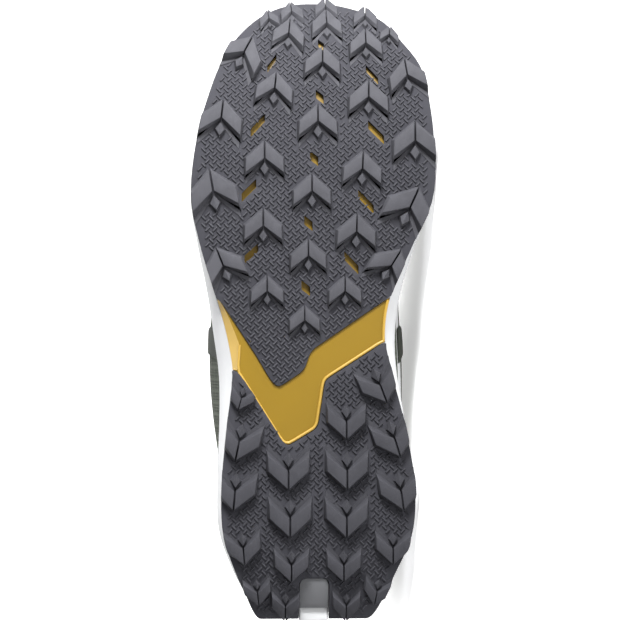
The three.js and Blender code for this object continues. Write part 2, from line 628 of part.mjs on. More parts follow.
function upperShell() {
  return outerForm(0)
    .subtract(innerForm(0))
    .subtract(belowFootbed(0))
    .subtract(aboveLine(COLLAR_LINE))
    .subtract(ridgeCutter(throat.start, topSection, throatHalfWidth, throat.depth, throat.depth));
}

const shellBetween = (low, high) => outerForm(high).subtract(outerForm(low));

// Overlays lie on the upper and stop at the midsole's rim
const overlaySkin = shellBetween(clearance, clearance + boot.overlay);
const grownMidsole = midsoleBlock(clearance);
const overlay = (line) => overlaySkin.intersect(inSideView(line)).subtract(grownMidsole).subtract(belowFootbed(4));

function eyestay() {
  const band = 15;
  const wide = ridgeCutter(throat.start - 0.55, topSection, (r) => throatHalfWidth(r) + band * Math.min(1, 0.6 + r - throat.start + 0.55), 34, 10);
  const hole = ridgeCutter(throat.start - 0.06, topSection, (r) => throatHalfWidth(r) + 0.9, 40, 12);
  return overlaySkin.intersect(wide).subtract(hole).subtract(aboveLine(COLLAR_LINE)).subtract(grownMidsole);
}

function tongue() {
  const outside = innerForm(-clearance - 0.2);
  const inside = innerForm(-clearance - 0.2 - boot.tongue);
  const width = (r) => throatHalfWidth(r) + 11;
  const cutter = ridgeCutter(throat.start - 0.4, topSection, width, 26, 8);
  return outside.subtract(inside).intersect(cutter).subtract(aboveLine(TONGUE_TOP));
}

function insole() {
  const slab = belowFootbed(boot.insole).subtract(belowFootbed(clearance));
  return innerForm(-1.6).intersect(slab).subtract(outerForm(1).subtract(innerForm(-0.4)));
}

function midsole() {
  const bed = outerForm(clearance).subtract(belowFootbed(0));
  const channel = planPrism(grooveOutline(-0.6), -farAway, treadAt(0.97) + midsoleLow + heelGroove.depth);
  const finLow = treadAt(1) - 1;
  const finBack = xOf(1) - heelGroove.finReach;
  const fin = sidePrism(
    [
      [xOf(1) + 4, finLow + 2],
      [finBack + 1.2, finLow + 1],
      [finBack, finLow + 3],
      [finBack + 1, finLow + heelGroove.finHeight],
      [xOf(1) + 4, finLow + heelGroove.finHeight + 3],
    ],
    heelGroove.width - 1.4,
  ).translate([0, -across(0.008), 0]);
  return midsoleBlock().subtract(channel).add(fin).subtract(bed);
}

// A point on the form's surface beside its ridge, at a section number and a distance across
function besideRidge(r, side, distance) {
  const section = sectionAt(r);
  let low = section.widest;
  let high = 1;
  for (let n = 0; n < 24; n++) {
    const middle = (low + high) / 2;
    if (Math.abs(sectionPoint(section, side, middle).y - section.lean) > distance) low = middle;
    else high = middle;
  }
  const point = sectionPoint(section, side, low);
  const ahead = sectionPoint(section, side, low - 0.02).sub(point);
  const next = sectionAt(r + 0.2);
  const along = sectionPoint(next, side, low).sub(point);
  const normal = ahead.cross(along).normalize();
  if (normal.dot(point.clone().sub(section.low)) < 0) normal.negate();
  return { point, normal };
}

const pairAt = (n) => THREE.MathUtils.lerp(lace.firstPair, lace.lastPair, (n / (lace.pairs - 1)) ** 1.15);
const eyeletOn = (n, side) => besideRidge(pairAt(n), side, throatHalfWidth(pairAt(n)) + eyelet.fromEdge);

function eyeletGeometry(n, side) {
  const { point, normal } = eyeletOn(n, side);
  const { radius, hole, height } = eyelet;
  const profile = [[hole, 0], [radius, 0], [radius - 0.4, height], [hole, height], [hole, 0]];
  const ring = new THREE.LatheGeometry(profile.map(([r, h]) => new THREE.Vector2(r, h)), 10);
  const seat = clearance + boot.overlay + clearance + 0.35;
  const turn = new THREE.Quaternion().setFromUnitVectors(new THREE.Vector3(0, 1, 0), normal);
  const place = point.clone().addScaledVector(normal, seat);
  return ring.applyMatrix4(new THREE.Matrix4().compose(place, turn, new THREE.Vector3(1, 1, 1)));
}

// The lace's crossings from each eyelet to the next one up on the other side, joined where they meet
function laceSolid() {
  const height = clearance + boot.overlay + clearance + 0.35 + eyelet.height + 3 * clearance + lace.radius;
  const section = new THREE.Shape(
    Array.from({ length: lace.sides }, (_, n) => {
      const angle = (2 * Math.PI * n) / lace.sides;
      return new THREE.Vector2(Math.cos(angle) * lace.radius, Math.sin(angle) * lace.radius);
    }),
  );
  const strand = (fromPair, fromSide, toPair, toSide) => {
    const path = [0, 0.2, 0.5, 0.8, 1].map((u) => {
      const r = THREE.MathUtils.lerp(pairAt(fromPair), pairAt(toPair), u);
      const reach = (throatHalfWidth(r) + eyelet.fromEdge) * Math.abs(1 - 2 * u);
      const { point, normal } = besideRidge(r, u < 0.5 ? fromSide : toSide, Math.max(reach, 0.5));
      const sag = lace.sag * throatHalfWidth(r) * (1 - (2 * u - 1) ** 2) ** 2;
      return point.addScaledVector(normal, height - sag);
    });
    const extrudePath = new THREE.CatmullRomCurve3(path);
    return solidOf(new THREE.ExtrudeGeometry(section, { steps: lace.steps, bevelEnabled: false, extrudePath }));
  };
  const strands = [strand(0, "lateral", 0, "medial")];
  for (let n = 0; n < lace.pairs - 1; n++) {
    strands.push(strand(n, "lateral", n + 1, "medial"), strand(n, "medial", n + 1, "lateral"));
  }
  return joined(strands);
}

// A webbing loop over the collar's back edge: a round arch, and two legs that lie against the upper
function pullLoop() {
  const [backX, backZ] = sidePoint([0.968, 0.965]);
  const edgeZ = sidePoint([0.95, 1])[1];
  const radius = loop.span / 2;
  const centreX = backX - loop.behind + radius;
  const springZ = edgeZ + loop.rise - radius;
  const outline = (inset) => {
    const r = radius - inset;
    const arc = Array.from({ length: 7 }, (_, n) => {
      const angle = (Math.PI * n) / 6;
      return [centreX - r * Math.cos(angle), springZ + r * Math.sin(angle)];
    });
    return [[centreX - r, edgeZ - inset], ...arc, [centreX + r, edgeZ - inset]];
  };
  const above = sidePrism([[farAway, edgeZ + 1.5], [-farAway, edgeZ + 1.5], [-farAway, farAway], [farAway, farAway]]);
  const arch = sidePrism(outline(0), loop.width)
    .subtract(sidePrism(outline(loop.thickness), loop.width + 2))
    .intersect(above);
  const backSkin = shellBetween(clearance, clearance + loop.thickness);
  const frontSkin = innerForm(-clearance).subtract(innerForm(-clearance - loop.thickness));
  const legBox = (low, x0, x1) => sidePrism([[x0, low], [x1, low], [x1, edgeZ + 2.5], [x0, edgeZ + 2.5]], loop.width);
  const back = backSkin.intersect(legBox(backZ - loop.backLeg, backX - 16, backX + 5));
  const front = frontSkin.intersect(legBox(backZ - loop.frontLeg, backX + 4, backX + 24));
  return joined([arch, back, front]);
}

// Materials
const finish = (color, roughness, metalness = 0) => new THREE.MeshStandardMaterial({ color, roughness, metalness });
const finishes = {
  rubber: finish("#4b4b50", 0.8),
  plate: finish("#b0902c", 0.45),
  foam: finish("#e4e2e4", 0.7),
  fabric: finish("#6c7264", 0.9),
  overlay: finish("#3d4038", 0.6),
  lining: finish("#4a4d47", 0.95),
  lace: finish("#2d2f2c", 0.85),
  metal: finish("#55585a", 0.4, 0.8),
};

// Assembly, standing
const standing = new THREE.Group();
function addPiece(name, material, solidOrGeometry) {
  const geometry = solidOrGeometry.isBufferGeometry ? solidOrGeometry : geometryOf(solidOrGeometry);
  const mesh = new THREE.Mesh(geometry, finishes[material]);
  mesh.name = name;
  standing.add(mesh);
  return mesh;
}

addPiece("outsole_forefoot", "rubber", forefootRubber());
addPiece("outsole_heel", "rubber", heelRubber());
addPiece("shank_plate", "plate", shankPlate());
addPiece("midsole", "foam", midsole());
addPiece("insole", "lining", insole());
addPiece("upper", "fabric", upperShell());
addPiece("tongue", "fabric", tongue());
addPiece("toe_cap", "overlay", overlay(TOE_CAP));
addPiece("heel_counter", "overlay", overlay(HEEL_COUNTER));
addPiece("eyestay", "overlay", eyestay());
addPiece("lace", "lace", laceSolid());
addPiece("pull_loop", "lace", pullLoop());
for (const side of ["lateral", "medial"]) {
  for (let n = 0; n < lace.pairs; n++) addPiece(`eyelet_${side}_${n + 1}`, "metal", eyeletGeometry(n, side));
}

// Laid on its inner side, the boot rests on three places: the sole's edge at the ball, the sole's edge at
// the heel, and the collar. The plane through the farthest point of each becomes the floor.
const soleNames = ["outsole_forefoot", "outsole_heel", "midsole"];
const pointsOf = (names) =>
  names.flatMap((name) => {
    const position = standing.getObjectByName(name).geometry.attributes.position;
    return Array.from({ length: position.count }, (_, n) => new THREE.Vector3().fromBufferAttribute(position, n));
  });

function restingNormal() {
  const solePoints = pointsOf(soleNames);
  const supports = [
    solePoints.filter((p) => p.x > 0),
    solePoints.filter((p) => p.x < 0),
    pointsOf(["upper"]).filter((p) => p.z > sole.heelStack + boot.upperHeight / 2),
  ];
  const farthest = (points, normal) => points.reduce((best, p) => (p.dot(normal) > best.dot(normal) ? p : best));
  let normal = new THREE.Vector3(0, 1, 0);
  for (let round = 0; round < 8; round++) {
    const [ball, heel, collar] = supports.map((points) => farthest(points, normal));
    normal = heel.clone().sub(ball).cross(collar.clone().sub(ball)).normalize();
    if (normal.y < 0) normal.negate();
  }
  return normal;
}

function layOnSide(object) {
  const up = restingNormal().negate();
  const forward = new THREE.Vector3(1, 0, 0).projectOnPlane(up).normalize();
  const lying = new THREE.Matrix4().makeBasis(forward, up.clone().cross(forward), up).invert();
  object.setRotationFromMatrix(lying);
  object.updateMatrixWorld(true);
  const box = new THREE.Box3().setFromObject(object, true);
  const middle = box.getCenter(new THREE.Vector3());
  object.position.set(-middle.x, -middle.y, -box.min.z);
  return new THREE.Group().add(object);
}

export default layOnSide(standing);
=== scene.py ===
import json
import logging
import math
from contextlib import contextmanager
from dataclasses import dataclass, field
from enum import Enum
from typing import Callable, Iterable, Iterator, NamedTuple, Sequence

import bmesh
import bpy
from bpy.types import Material, Node, NodeSocket, NodeTree, Object
from mathutils import Matrix, Vector
from mathutils.bvhtree import BVHTree


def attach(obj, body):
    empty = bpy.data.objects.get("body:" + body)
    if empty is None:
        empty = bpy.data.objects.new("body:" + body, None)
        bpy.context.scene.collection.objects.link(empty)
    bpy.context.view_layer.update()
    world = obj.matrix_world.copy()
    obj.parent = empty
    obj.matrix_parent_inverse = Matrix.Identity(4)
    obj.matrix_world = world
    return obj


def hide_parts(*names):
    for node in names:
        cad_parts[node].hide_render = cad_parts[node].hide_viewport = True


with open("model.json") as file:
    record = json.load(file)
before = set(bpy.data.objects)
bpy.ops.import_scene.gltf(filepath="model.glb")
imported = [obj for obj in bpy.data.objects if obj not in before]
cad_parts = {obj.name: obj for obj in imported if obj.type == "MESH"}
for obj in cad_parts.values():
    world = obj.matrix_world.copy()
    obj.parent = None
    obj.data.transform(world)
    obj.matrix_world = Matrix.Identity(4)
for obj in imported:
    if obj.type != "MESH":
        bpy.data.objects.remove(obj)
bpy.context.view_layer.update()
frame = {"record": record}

log = logging.getLogger("boot")

Point2 = tuple[float, float]


class Side(Enum):
    """The two sides of a right boot; the value is the sign of Y on the standing boot."""

    LATERAL = -1
    MEDIAL = 1


# Driving sizes in millimetres, on the standing boot: +X to the toe, +Y to the inner side, +Z up.
SOLE_LENGTH = 306.0
BALL_WIDTH = 121.0
LUG_HEIGHT = 4.5
RUBBER = 2.6
TOE_SPRING = 25.0
TOE_WRAP = 16.0
HEEL_BEVEL = 6.0
HEEL_WRAP = 4.0
HEEL_STACK = 33.0
RIM = 11.0
PLATE = 1.5
CLEARANCE = 0.3
UPPER_HEIGHT = 115.0
OVERLAY = 1.3
FILM_GAP = 0.1
INSOLE = 4.5
TONGUE = 4.2
EYESTAY_WALL = 2.6
THROAT_START = 5.2
EYESTAY_START = THROAT_START - 0.55
THROAT_WIDTHS = (9.0, 31.0)
EYESTAY_BAND = 15.0
LACE_RADIUS = 1.8
PAIRS = 6
PAIR_SECTIONS = (5.9, 15.6)
EYELET_RADIUS = 4.3
EYELET_HOLE = 2.2
EYELET_HEIGHT = 1.0
EYELET_FROM_EDGE = 7.0
LOOP_WIDTH = 15.0
LOOP_THICKNESS = 1.7
GROOVE_WIDTH = 15.0
GROOVE_LENGTH = 19.5
TOE_REACH = 2.3
HEEL_REACH = 1.7


class Station(NamedTuple):
    """A place along the tread, as shares of its length and of the ball width."""

    along: float
    lateral: float
    medial: float
    spread_lateral: float
    spread_medial: float
    tuck: float


class Section(NamedTuple):
    """A fanned section of the upper's form, in shares of the sole's length and the upper's height."""

    low: Point2
    top: Point2
    lateral: float
    medial: float
    widest: float
    base: float
    crown: float
    lean: float
    wall: float


class Lug(NamedTuple):
    """A chevron lug: its inner corner, its size and its turn towards the inner side in degrees."""

    along: float
    across: float
    size: float
    turn: float


class Window(NamedTuple):
    """A window through the forefoot rubber, with its long side's turn in degrees."""

    along: float
    across: float
    length: float
    width: float
    turn: float


OUTLINE = tuple(Station(*row) for row in (
    (0, 0.02, 0.03, 0, 0, 0),
    (0.007, 0.135, 0.15, 0, 0, 0.004),
    (0.026, 0.234, 0.276, 0, 0, 0.01),
    (0.062, 0.331, 0.36, 0, 0, 0.018),
    (0.102, 0.391, 0.432, 0, 0, 0.025),
    (0.141, 0.43, 0.459, 0, 0, 0.03),
    (0.22, 0.487, 0.483, 0, 0, 0.04),
    (0.318, 0.513, 0.48, 0, 0, 0.045),
    (0.397, 0.476, 0.395, 0.008, 0.018, 0.032),
    (0.48, 0.412, 0.306, 0.03, 0.046, 0.01),
    (0.548, 0.366, 0.283, 0.05, 0.05, 0.004),
    (0.608, 0.344, 0.312, 0.052, 0.03, 0.004),
    (0.682, 0.364, 0.36, 0.03, 0.012, 0.01),
    (0.78, 0.387, 0.403, 0.016, 0.004, 0.028),
    (0.861, 0.383, 0.395, 0.014, 0.006, 0.03),
    (0.928, 0.33, 0.326, 0.012, 0.008, 0.018),
    (0.967, 0.285, 0.279, 0.01, 0.008, 0.012),
    (1, 0.224, 0.207, 0.008, 0.008, 0.01),
))
FOOTBED = ((0, 1.3), (0.04, 1.2), (0.1, 1.06), (0.2, 0.9), (0.3, 0.81), (0.42, 0.82), (0.55, 0.88),
           (0.7, 0.95), (0.85, 1), (1, 1.02))
SECTIONS = tuple(Section(*row) for row in (
    ((0.039, -0.043), (0.038, 0.078), 0.105, 0.124, 0.4, 0.92, 2.2, 0.01, 2.4),
    ((0.052, -0.05), (0.053, 0.165), 0.207, 0.233, 0.38, 0.93, 2.3, 0.016, 2.4),
    ((0.082, -0.05), (0.081, 0.257), 0.289, 0.325, 0.36, 0.94, 2.3, 0.026, 2.4),
    ((0.134, -0.05), (0.131, 0.345), 0.36, 0.387, 0.34, 0.95, 2.2, 0.036, 2.4),
    ((0.203, -0.05), (0.193, 0.42), 0.412, 0.414, 0.33, 0.95, 2.1, 0.044, 2.4),
    ((0.278, -0.05), (0.258, 0.497), 0.442, 0.42, 0.33, 0.95, 1.95, 0.046, 2.4),
    ((0.353, -0.05), (0.322, 0.575), 0.446, 0.398, 0.34, 0.93, 1.85, 0.042, 2.4),
    ((0.435, -0.05), (0.382, 0.652), 0.43, 0.372, 0.38, 0.9, 1.75, 0.036, 2.5),
    ((0.516, -0.05), (0.438, 0.733), 0.418, 0.366, 0.43, 0.86, 1.75, 0.03, 2.7),
    ((0.605, -0.05), (0.487, 0.812), 0.415, 0.384, 0.47, 0.83, 1.8, 0.022, 3.2),
    ((0.696, -0.05), (0.526, 0.884), 0.405, 0.389, 0.48, 0.84, 1.85, 0.016, 3.8),
    ((0.794, -0.05), (0.552, 0.945), 0.388, 0.38, 0.48, 0.86, 1.9, 0.01, 4.2),
    ((0.88, -0.05), (0.57, 0.993), 0.368, 0.364, 0.46, 0.85, 2, 0.006, 3.6),
    ((0.94, -0.045), (0.582, 1.028), 0.354, 0.35, 0.46, 0.68, 2, 0, 3.2),
    ((0.978, 0.09), (0.59, 1.06), 0.347, 0.343, 0.47, 0.25, 2, 0, 3.2),
    ((0.987, 0.28), (0.597, 1.09), 0.347, 0.343, 0.48, 0.08, 2, 0, 4),
    ((0.978, 0.49), (0.603, 1.12), 0.352, 0.348, 0.49, 0.05, 2, 0, 5.4),
    ((0.963, 0.665), (0.609, 1.15), 0.36, 0.355, 0.5, 0.05, 2, 0, 6.8),
    ((0.959, 0.825), (0.616, 1.185), 0.368, 0.363, 0.5, 0.05, 2, 0, 7.8),
    ((0.968, 0.965), (0.623, 1.225), 0.371, 0.367, 0.5, 0.05, 2, 0, 7.8),
    ((0.978, 1.11), (0.633, 1.3), 0.364, 0.36, 0.5, 0.05, 2, 0, 7.2),
))
TOP_SECTION = len(SECTIONS) - 1
COLLAR_LINE = ((0.5, 1.24), (0.575, 1.13), (0.625, 1.02), (0.69, 0.955), (0.77, 0.935), (0.86, 0.95),
               (0.93, 0.99), (1.06, 1.03))
TOE_CAP_LINE = ((0.098, 0.6), (0.112, 0.32), (0.15, 0.2), (0.21, 0.13), (0.3, 0.1), (0.36, 0.07))
COUNTER_LINE = ((0.68, -0.3), (0.7, 0.1), (0.76, 0.2), (0.84, 0.3), (0.91, 0.44), (0.96, 0.58))
TONGUE_LINE = ((0.5, 1.28), (0.6, 1.26), (0.7, 1.2))
FOREFOOT_EDGE = ((0.43, -0.6), (0.489, -0.389), (0.579, -0.241), (0.614, -0.19), (0.627, -0.158),
                 (0.62, -0.128), (0.599, -0.05), (0.568, -0.024), (0.477, 0.314), (0.44, 0.6))
HEEL_EDGE = ((0.6, -0.6), (0.6, -0.345), (0.602, -0.322), (0.61, -0.302), (0.712, -0.139), (0.722, -0.118),
             (0.716, -0.09), (0.693, 0.006), (0.62, 0.034), (0.614, 0.044), (0.556, 0.272), (0.556, 0.29),
             (0.59, 0.6))
FOREFOOT_LUGS = tuple(Lug(*row) for row in (
    (0.011, 0.053, 0.6, 0), (0.019, -0.092, 0.6, -4), (0.026, 0.214, 0.62, 4), (0.031, -0.188, 0.52, -8),
    (0.039, 0.051, 0.8, 0), (0.056, 0.309, 0.5, 8), (0.056, -0.108, 0.84, 8), (0.072, 0.209, 0.86, 0),
    (0.088, -0.294, 1.05, 30), (0.103, 0.028, 0.94, 2), (0.124, 0.376, 1, -9), (0.146, -0.17, 0.98, 7),
    (0.16, 0.215, 1.04, 1), (0.194, -0.389, 1.12, 7), (0.199, 0.006, 1.02, 0), (0.23, 0.404, 1.16, 0),
    (0.259, -0.213, 1.02, 0), (0.275, 0.187, 1.02, 3), (0.311, -0.423, 1.24, -10), (0.311, -0.02, 1, 0),
    (0.337, 0.381, 1.24, 25), (0.367, -0.219, 1, 0), (0.376, 0.162, 1.02, 2), (0.415, -0.035, 0.94, 0),
    (0.431, -0.382, 1.06, -22), (0.431, 0.304, 1.06, 32), (0.472, -0.203, 0.86, 0), (0.472, 0.115, 0.86, 0),
    (0.519, -0.05, 0.8, 0),
))
HEEL_LUGS = tuple(Lug(*row) for row in (
    (0.624, 0.259, 1.06, 21), (0.645, -0.308, 0.68, -16), (0.683, 0.121, 1.02, 0), (0.71, 0.318, 1.1, 17),
    (0.715, -0.317, 1.1, -12), (0.762, -0.116, 1.1, 0), (0.762, 0.124, 1.1, 0), (0.795, -0.334, 1.1, -5),
    (0.795, 0.344, 1.12, 8), (0.838, -0.109, 1.12, 0), (0.838, 0.122, 1.12, 0), (0.887, -0.3, 0.92, 5),
    (0.887, 0.312, 0.92, 0), (0.915, -0.103, 0.9, 0), (0.915, 0.111, 0.9, 0), (0.957, -0.241, 0.7, 7),
    (0.957, 0.248, 0.7, -12), (0.979, -0.126, 0.72, 0), (0.979, 0.124, 0.72, 0),
))
WINDOWS = tuple(Window(*row) for row in (
    (0.07, 0.028, 3.9, 3.2, -52), (0.1, -0.179, 7.5, 2.8, 35), (0.119, 0.233, 8.5, 2.8, -42),
    (0.156, 0.016, 4.3, 3.7, -52), (0.203, -0.239, 10, 3.6, 42), (0.214, 0.246, 10.5, 3.6, -45),
    (0.257, -0.009, 4.6, 3.9, -52), (0.309, -0.276, 9.5, 3.6, 45), (0.327, 0.203, 10.5, 3.6, -44),
    (0.362, -0.033, 4.6, 3.9, -52), (0.411, -0.266, 8.5, 3.4, 48), (0.426, 0.143, 9.5, 3.6, -44),
    (0.467, -0.044, 4.8, 3.9, -52),
))


class Curve:
    """A smooth curve through a table's values."""

    def __init__(self, places: Sequence[float], values: Sequence[float]) -> None:
        """Keep the table and the curve's slope at each of its places.

        Args:
            places: The table's places, rising.
            values: The value at each place.
        """
        self.places = list(places)
        self.values = list(values)
        last = len(self.places) - 1
        self.slopes = []
        for n in range(last + 1):
            low, high = max(0, n - 1), min(last, n + 1)
            rise = self.values[high] - self.values[low]
            self.slopes.append(rise / (self.places[high] - self.places[low]))

    def at(self, place: float) -> float:
        """Return the curve's value at a place, held level past the table's ends.

        Args:
            place: The place.

        Returns:
            The value.
        """
        last = len(self.places) - 1
        n = 0
        while n < last - 1 and self.places[n + 1] < place:
            n += 1
        step = self.places[n + 1] - self.places[n]
        t = min(1.0, max(0.0, (place - self.places[n]) / step))
        t2, t3 = t * t, t * t * t
        return (
            (2 * t3 - 3 * t2 + 1) * self.values[n]
            + (t3 - 2 * t2 + t) * step * self.slopes[n]
            + (3 * t2 - 2 * t3) * self.values[n + 1]
            + (t3 - t2) * step * self.slopes[n + 1]
        )


def clamp(value: float, low: float, high: float) -> float:
    """Return the value held between two limits."""
    return min(high, max(low, value))


def lerp(low: float, high: float, t: float) -> float:
    """Return the value a share t of the way from low to high."""
    return low + (high - low) * t


def ease(value: float, low: float, high: float) -> float:
    """Return a smooth 0 to 1 step as the value goes from low to high."""
    t = clamp((value - low) / (high - low), 0, 1)
    return t * t * (3 - 2 * t)


def hump(value: float, middle: float, width: float) -> float:
    """Return a bell curve that is 1 at its middle."""
    return math.exp(-(((value - middle) / width) ** 2))


def even_steps(low: float, high: float, count: int) -> list[float]:
    """Return the ends of count even steps from low to high."""
    return [lerp(low, high, n / count) for n in range(count + 1)]


def crowded_steps(count: int) -> list[float]:
    """Return count steps from 0 to 1 that are shorter at both ends."""
    return [(1 - math.cos(math.pi * n / count)) / 2 for n in range(count + 1)]


def x_of(along: float) -> float:
    """Return the place on X of a share along the sole from the toe."""
    return SOLE_LENGTH * (0.5 - along)


def along_of(x: float) -> float:
    """Return the share along the sole of a place on X."""
    return 0.5 - x / SOLE_LENGTH


def turn_of(along: float) -> float:
    """Return the angle that spreads places along the sole, so that its round ends stay round."""
    return math.acos(clamp(1 - 2 * along, -1, 1))


TURNS = [turn_of(row.along) for row in OUTLINE]
HALF_WIDTHS = {
    Side.LATERAL: Curve(TURNS, [row.lateral * BALL_WIDTH for row in OUTLINE]),
    Side.MEDIAL: Curve(TURNS, [row.medial * BALL_WIDTH for row in OUTLINE]),
}
SPREADS = {
    Side.LATERAL: Curve(TURNS, [row.spread_lateral * BALL_WIDTH for row in OUTLINE]),
    Side.MEDIAL: Curve(TURNS, [row.spread_medial * BALL_WIDTH for row in OUTLINE]),
}
TUCK = Curve(TURNS, [row.tuck * BALL_WIDTH for row in OUTLINE])
FOOTBED_CURVE = Curve([row[0] for row in FOOTBED], [row[1] * HEEL_STACK for row in FOOTBED])


def half_width(along: float, side: Side) -> float:
    """Return the tread's half width on a side at a share along the sole."""
    return HALF_WIDTHS[side].at(turn_of(along))


def footbed(along: float) -> float:
    """Return the footbed's height at a share along the sole."""
    return FOOTBED_CURVE.at(along)


def tread_height(along: float) -> float:
    """Return the height of the rubber's lower face at a share along the sole."""
    toe = clamp(1 - along / 0.425, 0, 1)
    heel = clamp((along - 0.837) / 0.163, 0, 1)
    spring = TOE_SPRING * toe**3 + TOE_WRAP * toe**16
    return LUG_HEIGHT + spring + HEEL_BEVEL * heel**2.2 + HEEL_WRAP * heel**8


def tread_slope(along: float) -> float:
    """Return the rocker's slope in side view at a share along the sole."""
    step = 0.002
    low = clamp(along, step, 1 - step) - step
    return math.atan((tread_height(low) - tread_height(low + 2 * step)) / (2 * step * SOLE_LENGTH))


def end_reach(along: float) -> float:
    """Return how far the tread's round ends are drawn forward or back at a share along the sole."""
    toe = clamp(1 - along / 0.07, 0, 1)
    heel = clamp((along - 0.95) / 0.05, 0, 1)
    return TOE_REACH * toe**2 - HEEL_REACH * heel**2


def on_tread(x: float, y: float, lift: float) -> Vector:
    """Wrap a place on the flat tread onto the rocker.

    Args:
        x: The place along the boot.
        y: The place across the boot.
        lift: The height over the rubber's lower face, less than 0 below it.

    Returns:
        The place on the standing boot.
    """
    along = clamp(along_of(x), -0.02, 1.02)
    slope = tread_slope(along)
    ahead = x + end_reach(along)
    return Vector((ahead - math.sin(slope) * lift, y, tread_height(along) + math.cos(slope) * lift))


@dataclass(frozen=True)
class Pose:
    """How the standing boot lies in the row's frame, taken from the two flat places on its tread."""

    heel_tread: Vector = Vector((-78.7, -19.0, 0.0))
    forefoot_tread: Vector = Vector((24.7, 0.04, 0.0))

    def matrix(self) -> Matrix:
        """Return the matrix from millimetres on the standing boot to metres in the row's frame."""
        mounts = {mount["name"]: mount for mount in frame["record"]["mounts"]}
        heel = Vector(mounts["heel_tread"]["pos_m"])
        forefoot = Vector(mounts["forefoot_tread"]["pos_m"])
        up = -Vector(mounts["heel_tread"]["axis"]).normalized()
        lying = self.basis(forefoot - heel, up)
        standing = self.basis(self.forefoot_tread - self.heel_tread, Vector((0, 0, 1)))
        turn = lying @ standing.transposed()
        place = heel - turn @ (self.heel_tread / 1000)
        return Matrix.Translation(place) @ turn.to_4x4() @ Matrix.Scale(0.001, 4)

    @staticmethod
    def basis(ahead: Vector, up: Vector) -> Matrix:
        """Return the axes of a frame, as columns, from a way ahead and a way up."""
        first = (ahead - up * ahead.dot(up)).normalized()
        return Matrix((first, up.cross(first), up)).transposed()


TO_ROW = Pose().matrix()


# The upper's form

